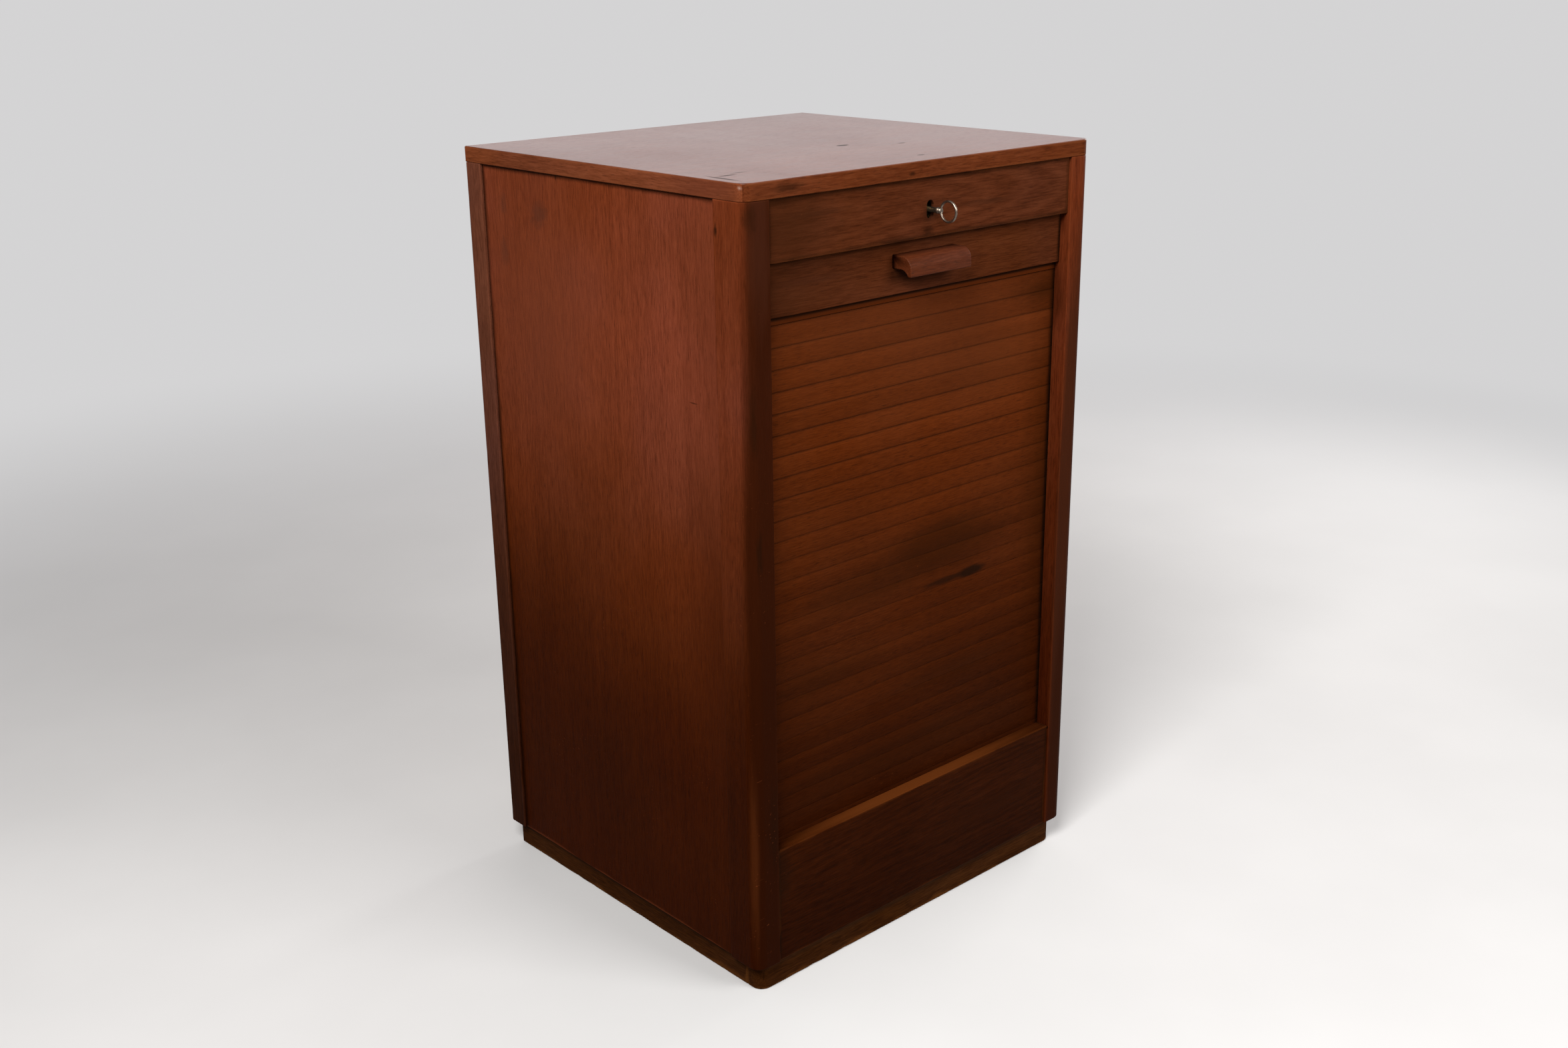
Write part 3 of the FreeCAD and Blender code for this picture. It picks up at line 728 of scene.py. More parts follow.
    def deepened(self, g: Graph, plan: WoodPlan, place: Socket, shade: Socket) -> Socket:
        """Turns a shade into a colour that loses more green and blue as it darkens.

        Args:
            g: the material's graph.
            plan: the piece of wood.
            place: the point's coordinates.
            shade: the shade.

        Returns:
            The colour to multiply by.
        """
        shifted = g.vector("ADD", place, (plan.seed, plan.seed, 0.0))
        hue = g.span(g.cloud(shifted, self.HUE_SCALE), *self.HUE_EDGE, -1.0, 1.0)
        parts = [shade]
        for power, sway in zip(plan.finish.deepen, self.HUE_SWAY):
            deep = g.math("POWER", shade, power)
            parts.append(g.math("MULTIPLY", deep, g.math("MULTIPLY_ADD", hue, sway, 1.0)))
        return g.join(*parts)

    def marks_and_painted_light(self, g: Graph, plan: WoodPlan, place: Socket, colour: Socket) -> tuple[Socket, Any]:
        """Adds the piece's own marks, and the shadows, shade and highlights that are painted on it as spots.

        Args:
            g: the material's graph.
            plan: the piece of wood.
            place: the point's coordinates.
            colour: colour of the clean wood.

        Returns:
            The colour with these spots, and where they are.
        """
        found: Any = 0.0
        for mark_or_painted_light in plan.spots:
            mask = self.kit.use(
                g, "spot", vector=place, centre=mark_or_painted_light.centre, reach=mark_or_painted_light.reach, ragged=mark_or_painted_light.ragged,
                core=mark_or_painted_light.core,
            )[0]
            share = g.math("MULTIPLY", mask, mark_or_painted_light.strength)
            colour = g.mix(share, colour, mark_or_painted_light.colour)
            found = g.math("MAXIMUM", found, share)
        return colour, found

    def polished(self, g: Graph, plan: WoodPlan, place: Socket, gloss: Socket, marks_and_painted_light: Any) -> Socket:
        """Polish on the piece's upper face, thinner in patches and gone from its marks.

        Args:
            g: the material's graph.
            plan: the piece of wood.
            place: the point's coordinates.
            gloss: roughness of the grain, from 0 to 1.
            marks_and_painted_light: where its marks are.

        Returns:
            The polish's weight.
        """
        start, full = (plan.box[1][2] - drop for drop in self.POLISH_EDGE)
        gleam = g.span(g.axes(place)[2], start, full, 0.0, plan.finish.polish)
        patches = g.cloud(place, self.POLISH_SCALE, detail=3.0)
        patchy = g.span(patches, *self.BLOTCH_EDGE, *self.POLISH_RANGE)
        clean = g.math("MULTIPLY", patchy, g.math("SUBTRACT", 1.0, marks_and_painted_light))
        clean = g.math("MULTIPLY", clean, g.span(gloss, 0.0, 1.0, 1.0, self.POLISH_GRAIN))
        return g.math("MULTIPLY", gleam, clean)

    def slat_tone(self, g: Graph, z: Socket, top: float, pitch: float) -> Socket:
        """Small difference in tone from slat to slat.

        Args:
            g: the material's graph.
            z: height of the point.
            top: height of the first slat's top edge.
            pitch: distance from slat to slat.

        Returns:
            A factor near 1.
        """
        count = g.math("FLOOR", g.math("DIVIDE", g.math("SUBTRACT", top, z), pitch))
        chance = g.add("ShaderNodeTexWhiteNoise", {"W": count}, noise_dimensions="1D").outputs[0]
        return g.math("MULTIPLY_ADD", chance, *self.SLAT_TONES)

    def joint_dirt(self, g: Graph, z: Socket, top: float, pitch: float) -> Socket:
        """Dirt in the joints between the slats, clearer on the upper ones.

        Args:
            g: the material's graph.
            z: height of the point.
            top: height of the first slat's top edge.
            pitch: distance from slat to slat.

        Returns:
            The dirt's mask.
        """
        share = g.math("FRACT", g.math("DIVIDE", g.math("SUBTRACT", top, z), pitch))
        near = g.math("MULTIPLY", g.math("MINIMUM", share, g.math("SUBTRACT", 1.0, share)), pitch)
        low, high = (top - rows * pitch for rows in self.JOINT_ROWS)
        return g.math("MULTIPLY", g.span(near, *self.JOINT_WIDTH), g.span(z, low, high, *self.JOINT_DIRT))

    def metal(self, finish: MetalFinish, name: str) -> Material:
        """Makes a metal.

        Args:
            finish: the kind of metal.
            name: the material's name.

        Returns:
            The material.
        """
        material, g, shader, place = self.start(name)
        wear = self.kit.use(g, "metal_wear", vector=place, scale=finish.scale)
        g.feed(shader.inputs["Base Color"], g.mix(wear["Tarnish"], finish.bright, finish.tarnished))
        dull = g.math("MULTIPLY", wear["Tarnish"], self.METAL_TARNISH)
        rough = g.math("MULTIPLY_ADD", wear["Marks"], self.METAL_MARKS, dull, clamp=True)
        g.feed(shader.inputs["Roughness"], g.span(rough, *self.METAL_EDGE, finish.smooth, finish.rough))
        g.feed(shader.inputs["Metallic"], 1.0)
        g.feed(shader.inputs["Normal"], g.bump(wear["Marks"], finish.bump, self.METAL_RELIEF))
        return material

    def cloth(self, finish: ClothFinish, name: str) -> Material:
        """Makes a woven cloth in the XZ plane.

        Args:
            finish: the kind of cloth.
            name: the material's name.

        Returns:
            The material.
        """
        material, g, shader, place = self.start(name)
        x, _, z = g.axes(place)
        waves = []
        for axis in (x, z):
            turn = g.math("MULTIPLY", axis, finish.threads * math.pi)
            waves.append(g.math("ABSOLUTE", g.math("SINE", turn)))
        colour = g.mix(g.math("GREATER_THAN", *waves), finish.warp, finish.weft)
        slub = g.cloud(g.vector("MULTIPLY", place, finish.slub), 1.0)
        colour = g.mix(g.span(slub, *finish.slub_edge, 0.0, finish.slub_show), colour, finish.stain)
        stain = g.cloud(place, finish.stain_scale, detail=4.0)
        colour = g.mix(g.span(stain, *finish.stain_edge, 0.0, finish.stain_show), colour, finish.stain)
        g.feed(shader.inputs["Base Color"], colour)
        height = g.math("MAXIMUM", *waves)
        g.feed(shader.inputs["Roughness"], g.span(height, 0.0, 1.0, finish.rough, finish.smooth))
        g.feed(shader.inputs["Normal"], g.bump(height, finish.bump, self.RELIEF))
        return material


def arc(first: Pair, middle: Pair, last: Pair, count: int) -> list[Pair]:
    """Points on the circle through three points.

    Args:
        first: where the arc starts.
        middle: a point that it passes.
        last: where it ends.
        count: number of stretches.

    Returns:
        The points, with both ends.
    """
    (ax, ay), (bx, by), (cx, cy) = first, middle, last
    double = 2 * (ax * (by - cy) + bx * (cy - ay) + cx * (ay - by))
    a, b, c = ax * ax + ay * ay, bx * bx + by * by, cx * cx + cy * cy
    x = (a * (by - cy) + b * (cy - ay) + c * (ay - by)) / double
    y = (a * (cx - bx) + b * (ax - cx) + c * (bx - ax)) / double
    radius = math.hypot(ax - x, ay - y)
    start, way, end = (math.atan2(q - y, p - x) for p, q in (first, middle, last))
    turn = (end - start) % FULL_TURN
    if (way - start) % FULL_TURN > turn:
        turn -= FULL_TURN
    angles = [start + turn * index / count for index in range(count + 1)]
    return [(x + radius * math.cos(angle), y + radius * math.sin(angle)) for angle in angles]


class Workshop:
    """Makes pieces from the frame's nodes and sets them on their bodies."""

    WELD = 0.002 * MM
    CUT_WELD = 0.001 * MM
    FLAT = math.radians(0.6)
    ARRIS = math.radians(35)
    SHORTEST = 2.3 * MM
    ROUNDS = 3
    FLAT_WEIGHT = 90
    WEAR_WAVES = 38.0
    WEAR_NOTCHES = 95.0
    NOTCH_FROM = 0.25
    WEAR_SHARES = (0.35, 1.3)

    def __init__(self, frame: dict[str, Any], finisher: Finisher) -> None:
        """Keeps the frame and the materials' maker.

        Args:
            finisher: maker of the materials.
        """
        self.nodes = frame["nodes"]
        self.finisher = finisher
        record = frame["record"]
        self.slots = {part["node"]: part["material_slot"] for part in record["subparts"]}
        bodies = record["behaviour"]["bodies"]
        self.bodies = {node: body for body, members in bodies.items() for node in members}

    @staticmethod
    def corners(node: str) -> Box:
        """Lowest and highest corner of a node."""
        low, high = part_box(node)
        return tuple(low), tuple(high)

    def merged(self, node: str) -> Surface:
        """Copies a node's surface and joins its loose triangles.

        Args:
            node: the CAD node.

        Returns:
            The joined copy, with flat faces made whole.
        """
        bm = bmesh.new()
        bm.from_mesh(self.nodes[node].data)
        bmesh.ops.remove_doubles(bm, verts=bm.verts, dist=self.WELD)
        bmesh.ops.dissolve_limit(bm, angle_limit=self.FLAT, verts=bm.verts, edges=bm.edges)
        return bm

    def loose_middles(self, node: str) -> list[Point]:
        """Middle of each separate solid of a node.

        Args:
            node: the CAD node.

        Returns:
            The middles in order of their place.
        """
        bm = self.merged(node)
        left = set(bm.verts)
        found: list[Point] = []
        while left:
            stack = [left.pop()]
            island = list(stack)
            while stack:
                for edge in stack.pop().link_edges:
                    for vertex in edge.verts:
                        if vertex in left:
                            left.remove(vertex)
                            stack.append(vertex)
                            island.append(vertex)
            low = [min(vertex.co[i] for vertex in island) for i in range(3)]
            high = [max(vertex.co[i] for vertex in island) for i in range(3)]
            found.append(tuple((a + b) / 2 for a, b in zip(low, high)))
        bm.free()
        return sorted(found)

    @classmethod
    def slice_up(cls, bm: Surface, axis: int, step: float) -> None:
        """Cuts a board across at equal steps, so that its edges can be uneven.

        Args:
            bm: the board.
            axis: 0, 1 or 2 for X, Y or Z.
            step: length of a stretch.
        """
        values = [vertex.co[axis] for vertex in bm.verts]
        low, high = min(values), max(values)
        count = int((high - low) / step)
        normal = Vector((0.0, 0.0, 0.0))
        normal[axis] = 1.0
        for index in range(1, count):
            place = Vector((0.0, 0.0, 0.0))
            place[axis] = low + (high - low) * index / count
            geometry = list(bm.verts) + list(bm.edges) + list(bm.faces)
            bmesh.ops.bisect_plane(bm, geom=geometry, plane_co=place, plane_no=normal, dist=cls.CUT_WELD)

    @staticmethod
    def bake(piece: Piece) -> None:
        """Turns an object's modifiers into its plain mesh.

        Args:
            piece: the object.
        """
        graph = bpy.context.evaluated_depsgraph_get()
        mesh = bpy.data.meshes.new_from_object(piece.evaluated_get(graph))
        piece.modifiers.clear()
        piece.data = mesh

    @staticmethod
    def show(name: str, mesh: bpy.types.Mesh) -> Piece:
        """Puts a mesh into the scene.

        Args:
            name: the object's name.
            mesh: its mesh.

        Returns:
            The object.
        """
        piece = bpy.data.objects.new(name, mesh)
        bpy.context.scene.collection.objects.link(piece)
        return piece

    @classmethod
    def smoothed(cls, name: str, bm: Surface) -> Piece:
        """Puts a surface into the scene with smooth shading.

        Args:
            name: the object's name.
            bm: its surface, which is freed.

        Returns:
            The object.
        """
        mesh = bpy.data.meshes.new(name)
        bm.to_mesh(mesh)
        bm.free()
        mesh.shade_smooth()
        return cls.show(name, mesh)

    def eased(self, node: str, width: float, cut: Optional[tuple[int, float]] = None) -> Piece:
        """Copies a node with its long arrises eased.

        Args:
            node: the CAD node.
            width: width of the eased arris.
            cut: axis and step of the cuts that let the edges wander.

        Returns:
            The piece.
        """
        bm = self.merged(node)
        if cut:
            self.slice_up(bm, *cut)
        weights = bm.edges.layers.float.new("bevel_weight_edge")
        for edge in bm.edges:
            if len(edge.link_faces) == 2 and edge.calc_face_angle() > self.ARRIS:
                long_enough = cut or edge.calc_length() > self.SHORTEST
                edge[weights] = 1.0 if long_enough else 0.0
        return self.rounded(node + "_dressed", bm, width)

    def rounded(self, name: str, bm: Surface, width: float) -> Piece:
        """Makes a piece whose weighted edges are rounded.

        Args:
            name: the piece's name.
            bm: its surface, which is freed.
            width: width of a rounded edge.

        Returns:
            The piece.
        """
        piece = self.smoothed(name, bm)
        bevel = piece.modifiers.new("ease", "BEVEL")
        bevel.limit_method = "WEIGHT"
        bevel.width = width
        bevel.segments = self.ROUNDS
        bevel.use_clamp_overlap = False
        even = piece.modifiers.new("even", "WEIGHTED_NORMAL")
        even.weight = self.FLAT_WEIGHT
        even.keep_sharp = True
        self.bake(piece)
        return piece

    @classmethod
    def wander(cls, piece: Piece, box: Box, depth: float, band: float, seed: float) -> None:
        """Wears the edges of a board unevenly, inwards only.

        Args:
            piece: the board.
            box: its corners.
            depth: greatest wear.
            band: distance from the edge at which the wear ends.
            seed: shift of the pattern.
        """
        low, high = Vector(box[0]), Vector(box[1])
        centre = (low + high) / 2
        wave_share, notch_share = cls.WEAR_SHARES
        for vertex in piece.data.vertices:
            gaps = sorted(min(vertex.co[i] - low[i], high[i] - vertex.co[i]) for i in range(3))
            if gaps[1] > band:
                continue
            wave = noise.noise(vertex.co * cls.WEAR_WAVES + Vector((seed, 0.0, 0.0))) * 0.5 + 0.5
            notch = noise.noise(vertex.co * cls.WEAR_NOTCHES + Vector((0.0, seed, 0.0))) - cls.NOTCH_FROM
            share = (1.0 - gaps[1] / band) * (wave_share * wave + notch_share * max(0.0, notch))
            inward = (centre - vertex.co).normalized()
            for i in range(3):
                if min(vertex.co[i] - low[i], high[i] - vertex.co[i]) <= band:
                    vertex.co[i] += math.copysign(depth * share, inward[i])

    def dress(self, piece: Piece, material: Material, *nodes: str) -> Piece:
        """Gives a piece its material and body, and hides the CAD nodes that it stands for.

        Args:
            piece: the finished piece.
            material: its material.
            nodes: CAD nodes that it stands for.

        Returns:
            The piece.
        """
        piece.data.materials.clear()
        piece.data.materials.append(material)
        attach(piece, self.bodies[nodes[0]])
        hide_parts(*nodes)
        LOG.info("%s: %d faces, %s", piece.name, len(piece.data.polygons), material.name)
        return piece

    def repaint(self, node: str, material: Material) -> None:
        """Gives a CAD node that stays in view a better material.

        Args:
            node: the CAD node.
            material: its material.
        """
        piece = self.nodes[node]
        piece.data.materials.clear()
        piece.data.materials.append(material)
        LOG.info("%s keeps its solid, %s", node, material.name)


class NodeTool:
    """A Geometry Nodes tree whose result becomes plain meshes."""

    SOCKETS = {
        "f": "NodeSocketFloat", "i": "NodeSocketInt", "v": "NodeSocketVector", "m": "NodeSocketMaterial",
        "g": "NodeSocketGeometry",
    }
    SHARP = math.radians(35)

    def __init__(self, name: str, inputs: dict[str, str]) -> None:
        """Starts the tree.

        Args:
            name: the tree's name.
            inputs: kind of each input by its name.
        """
        self.tree = bpy.data.node_groups.new(name, "GeometryNodeTree")
        self.tree.is_modifier = True
        for key, kind in {"Geometry": "g", **inputs, "Material": "m"}.items():
            self.tree.interface.new_socket(key, in_out="INPUT", socket_type=self.SOCKETS[kind])
        self.tree.interface.new_socket("Geometry", in_out="OUTPUT", socket_type=self.SOCKETS["g"])
        self.graph = Graph(self.tree)
        self.given = self.graph.add("NodeGroupInput").outputs

    def line(self, count: int) -> Socket:
        """Draws a line of the input Length along X, about the middle.

        Args:
            count: number of its points.

        Returns:
            The line.
        """
        g = self.graph
        half = g.math("MULTIPLY", self.given["Length"], 0.5)
        start = g.join(g.math("MULTIPLY", half, -1.0), 0.0, 0.0)
        line = g.add("GeometryNodeCurvePrimitiveLine", {"Start": start, "End": g.join(half, 0.0, 0.0)})
        return g.add("GeometryNodeResampleCurve", {"Curve": line.outputs[0], "Count": count}).outputs[0]

    def end(self, geometry: Socket) -> None:
        """Ends the tree with real geometry and its material.

        Args:
            geometry: what the tree has made.
        """
        g = self.graph
        real = g.add("GeometryNodeRealizeInstances", {0: geometry}).outputs[0]
        coloured = g.add("GeometryNodeSetMaterial", {"Geometry": real, "Material": self.given["Material"]})
        g.add("NodeGroupOutput", {0: coloured.outputs[0]})

    def make(self, name: str, points: Sequence[Point], **values: Any) -> Piece:
        """Runs the tree.

        Args:
            name: the piece's name.
            points: places that the tree works on.
            values: its inputs, with their names in lower case.

        Returns:
            The piece as a plain mesh.
        """
        mesh = bpy.data.meshes.new(name)
        mesh.from_pydata([tuple(point) for point in points], [], [])
        piece = Workshop.show(name, mesh)
        modifier = piece.modifiers.new("make", "NODES")
        modifier.node_group = self.tree
        for item in self.tree.interface.items_tree:
            key = item.name.lower()
            if item.in_out == "INPUT" and key in values:
                modifier[item.identifier] = values[key]
        Workshop.bake(piece)
        piece.data.shade_smooth()
        piece.data.set_sharp_from_angle(angle=self.SHARP)
        return piece


class SlatTool(NodeTool):
    """One slat: a rounded section drawn along X, a little bowed."""

    STATIONS = 18
    CORNER_STEPS = 3
    BOW_SCALE = 3.1

    def __init__(self) -> None:
        """Builds the tree."""
        super().__init__(
            "slat", {"Length": "f", "Height": "f", "Thickness": "f", "Ease": "f", "Bow": "f", "Seed": "f"}
        )
        g, given = self.graph, self.given
        line = self.line(self.STATIONS)
        section = g.add(
            "GeometryNodeCurvePrimitiveQuadrilateral",
            {"Width": given["Thickness"], "Height": given["Height"]},
        )
        section = g.add(
            "GeometryNodeFilletCurve",
            {"Curve": section.outputs[0], "Radius": given["Ease"], "Count": self.CORNER_STEPS},
            mode="POLY",
        )
        body = g.add(
            "GeometryNodeCurveToMesh",
            {"Curve": line, "Profile Curve": section.outputs[0], "Fill Caps": True},
        )
        x, _, _ = g.axes(g.add("GeometryNodeInputPosition").outputs[0])
        wave = g.cloud(g.join(g.math("MULTIPLY", x, self.BOW_SCALE), given["Seed"], 0.0), 1.0, detail=1.0)
        push = g.math("MULTIPLY", g.math("SUBTRACT", wave, 0.5), given["Bow"])
        offset = g.join(0.0, push, 0.0)
        moved = g.add("GeometryNodeSetPosition", {"Geometry": body.outputs[0], "Offset": offset})
        placed = g.add(
            "GeometryNodeInstanceOnPoints", {"Points": given["Geometry"], "Instance": moved.outputs[0]}
        )
        self.end(placed.outputs[0])


class ScrewTool(NodeTool):
    """Slotted countersunk screws on the points of a mesh, their heads facing the given way."""

    SIDES = 28
    TIP_SHARE = 0.35
    SLOT_DEPTH = 0.9
    SLOT_LENGTH = 3.0
    LARGEST_SPIN = 6.28

    def __init__(self) -> None:
        """Builds the tree."""
        super().__init__(
            "slotted_screws",
            {"Head": "f", "Rise": "f", "Shank": "f", "Length": "f", "Slot": "f", "Facing": "v", "Seed": "i"},
        )
        g, given = self.graph, self.given
        head = self.cone(given["Head"], given["Shank"], given["Rise"], given["Rise"])
        tip = g.math("MULTIPLY", given["Shank"], self.TIP_SHARE)
        shank_length = g.math("SUBTRACT", given["Length"], given["Rise"])
        shank = self.cone(given["Shank"], tip, shank_length, g.math("ADD", given["Rise"], shank_length))
        deep = g.math("MULTIPLY", given["Rise"], self.SLOT_DEPTH)
        wide = g.math("MULTIPLY", given["Head"], self.SLOT_LENGTH)
        blade = g.add("GeometryNodeMeshCube", {"Size": g.join(wide, given["Slot"], deep)})
        cut = g.add("GeometryNodeMeshBoolean", operation="DIFFERENCE")
        g.feed(cut.inputs["Mesh 1"], head)
        g.feed(cut.inputs["Mesh 2"], blade.outputs["Mesh"])
        whole = g.add("GeometryNodeJoinGeometry")
        g.feed(whole.inputs[0], cut.outputs["Mesh"])
        g.feed(whole.inputs[0], shank)
        turn = g.add("FunctionNodeAlignRotationToVector", {"Vector": given["Facing"]}, axis="Z").outputs[0]
        chance = g.add(
            "FunctionNodeRandomValue", {"Max": self.LARGEST_SPIN, "Seed": given["Seed"]}, data_type="FLOAT"
        )
        spin = g.join(0.0, 0.0, next(socket for socket in chance.outputs if socket.enabled))
        placed = g.add(
            "GeometryNodeInstanceOnPoints",
            {"Points": given["Geometry"], "Instance": whole.outputs[0], "Rotation": turn},
        )
        spun = g.add("GeometryNodeRotateInstances", {"Instances": placed.outputs[0], "Rotation": spin})
        self.end(spun.outputs[0])

    def cone(self, top: Any, bottom: Any, depth: Any, drop: Any) -> Socket:
        """Makes a blunt cone that stands lower on its axis.

        Args:
            top: radius of its upper end.
            bottom: radius of its lower end.
            depth: its height.
            drop: how far it is moved down.

        Returns:
            The cone.
        """
        g = self.graph
        inputs = {"Vertices": self.SIDES, "Radius Top": top, "Radius Bottom": bottom, "Depth": depth}
        mesh = g.add("GeometryNodeMeshCone", inputs).outputs["Mesh"]
        offset = g.join(0.0, 0.0, g.math("MULTIPLY", drop, -1.0))
        return g.add("GeometryNodeTransform", {"Geometry": mesh, "Translation": offset}).outputs[0]


class PegTool(NodeTool):
    """Turned pegs with rounded ends on the points of a mesh, along X."""

    STATIONS = 16
    SIDES = 20
    END_SHARE = 0.6

    def __init__(self) -> None:
        """Builds the tree."""
        super().__init__("shelf_pegs", {"Radius": "f", "Length": "f", "Ease": "f"})
        g, given = self.graph, self.given
        line = self.line(self.STATIONS)
        along = g.add("GeometryNodeSplineParameter").outputs["Length"]
        end = g.math("MINIMUM", along, g.math("SUBTRACT", given["Length"], along))
        rise = g.math("SUBTRACT", 1.0, g.math("DIVIDE", end, given["Ease"]), clamp=True)
        lost = g.math("MULTIPLY", g.math("MULTIPLY", rise, rise), self.END_SHARE)
        girth = g.math("SQRT", g.math("SUBTRACT", 1.0, lost))
        ring = g.add(
            "GeometryNodeCurvePrimitiveCircle", {"Resolution": self.SIDES, "Radius": given["Radius"]}
        )
        body = g.add(
            "GeometryNodeCurveToMesh",
            {"Curve": line, "Profile Curve": ring.outputs[0], "Scale": girth, "Fill Caps": True},
        )
        placed = g.add(
            "GeometryNodeInstanceOnPoints", {"Points": given["Geometry"], "Instance": body.outputs[0]}
        )
        self.end(placed.outputs[0])


CASE = WoodFinish(
    (0.094, 0.0186, 0.0066), (0.152, 0.0318, 0.0122), (0.203, 0.0460, 0.0184), (0.230, 0.0560, 0.0180),
    figure=0.10, streak=0.22, fibre=1000.0, contrast=0.85, rub=0.3, foot_shade=0.25, deepen=(1.2, 2.4),
)
CORNER = replace(
    CASE, dark=(0.076, 0.0150, 0.0052), middle=(0.120, 0.0250, 0.0094), light=(0.158, 0.0360, 0.0142),
)
POST = WoodFinish(
    (0.070, 0.0128, 0.0038), (0.108, 0.0212, 0.0068), (0.143, 0.0300, 0.0100), (0.150, 0.0340, 0.0090),
    figure=0.10, streak=0.24, rub=0.2, foot_shade=0.36,
)
REAR_POST = WoodFinish(
    (0.075, 0.0220, 0.0125), (0.112, 0.0355, 0.0210), (0.150, 0.0500, 0.0310), (0.180, 0.0640, 0.0400),
    figure=0.10, streak=0.24, rub=0.1, foot_shade=0.28,
)
TOP = WoodFinish(
    (0.056, 0.0120, 0.0033), (0.094, 0.0212, 0.0060), (0.130, 0.0325, 0.0100), (0.170, 0.0470, 0.0140),
    rub=0.5, polish=0.9, smooth=0.30, rough=0.46,
)
BAND = WoodFinish(
    (0.100, 0.0240, 0.0080), (0.146, 0.0370, 0.0130), (0.195, 0.0530, 0.0205), (0.220, 0.0640, 0.0240),
    rub=0.4,
)
LOCK_RAIL = WoodFinish(
    (0.043, 0.0100, 0.0032), (0.074, 0.0184, 0.0063), (0.102, 0.0270, 0.0098), (0.120, 0.0320, 0.0090),
    rings=170.0, wander=2.2, figure=0.22, streak=0.20, fleck=0.3, rub=0.35,
)
APRON = WoodFinish(
    (0.015, 0.0030, 0.0006), (0.027, 0.0054, 0.0010), (0.039, 0.0082, 0.0017), (0.080, 0.0200, 0.0038),
    rings=190.0, wander=3.0, rub=0.5, foot_shade=0.8,
)
SHUTTER = WoodFinish(
    (0.060, 0.0108, 0.0018), (0.093, 0.0182, 0.0032), (0.124, 0.0256, 0.0048), (0.160, 0.0380, 0.0080),
    rings=42.0, figure=0.16, streak=0.24, fibre=1000.0, contrast=0.85, rub=0.4, smooth=0.40, rough=0.60,
    foot_shade=0.33, deepen=(1.0, 1.0),
)
LEAD_RAIL = WoodFinish(
    (0.043, 0.0102, 0.0033), (0.069, 0.0174, 0.0058), (0.092, 0.0248, 0.0088), (0.110, 0.0290, 0.0085),
    rings=34.0, wander=1.2, fleck=0.3, rub=0.35, smooth=0.38, rough=0.58, grime_and_shade=0.7,
)
PULL = WoodFinish(
    (0.048, 0.0104, 0.0034), (0.073, 0.0168, 0.0060), (0.100, 0.0245, 0.0094), (0.140, 0.0420, 0.0165),
    rings=70.0, rub=0.5, shine=0.10, sheen=(1.0, 0.80, 0.66),
)
PLINTH = WoodFinish(
    (0.019, 0.0056, 0.0013), (0.042, 0.0126, 0.0030), (0.067, 0.0225, 0.0058), (0.110, 0.0380, 0.0095),
    rub=0.9, rub_width=6.0 * MM, smooth=0.55, rough=0.8, foot_shade=1.0,
)
INNER = WoodFinish(
    (0.300, 0.165, 0.075), (0.430, 0.265, 0.130), (0.540, 0.365, 0.200), (0.600, 0.430, 0.260),
    (0.10, 0.06, 0.035), rings=36.0, rub=0.3, smooth=0.50, rough=0.75, grime_and_shade=0.5, foot_shade=0.85, contrast=0.8,
)
PLYWOOD = WoodFinish(
    (0.230, 0.120, 0.052), (0.360, 0.205, 0.095), (0.470, 0.295, 0.150), (0.520, 0.350, 0.190),
    (0.07, 0.04, 0.02), rings=17.0, wander=4.5, fibre=420.0, rub=0.3, smooth=0.55, rough=0.8, foot_shade=0.75,
)
NICKEL = MetalFinish((0.30, 0.25, 0.20), (0.11, 0.08, 0.06), 0.30, 0.52, 160.0)
LOCK_STEEL = MetalFinish((0.36, 0.35, 0.34), (0.16, 0.13, 0.11), 0.30, 0.58)
SCREW_STEEL = MetalFinish((0.44, 0.42, 0.40), (0.20, 0.14, 0.10), 0.28, 0.60, 260.0)
BRASS = MetalFinish((0.60, 0.42, 0.16), (0.28, 0.18, 0.07), 0.24, 0.50)
CANVAS = ClothFinish((0.50, 0.42, 0.30), (0.44, 0.36, 0.25), (0.24, 0.17, 0.10))


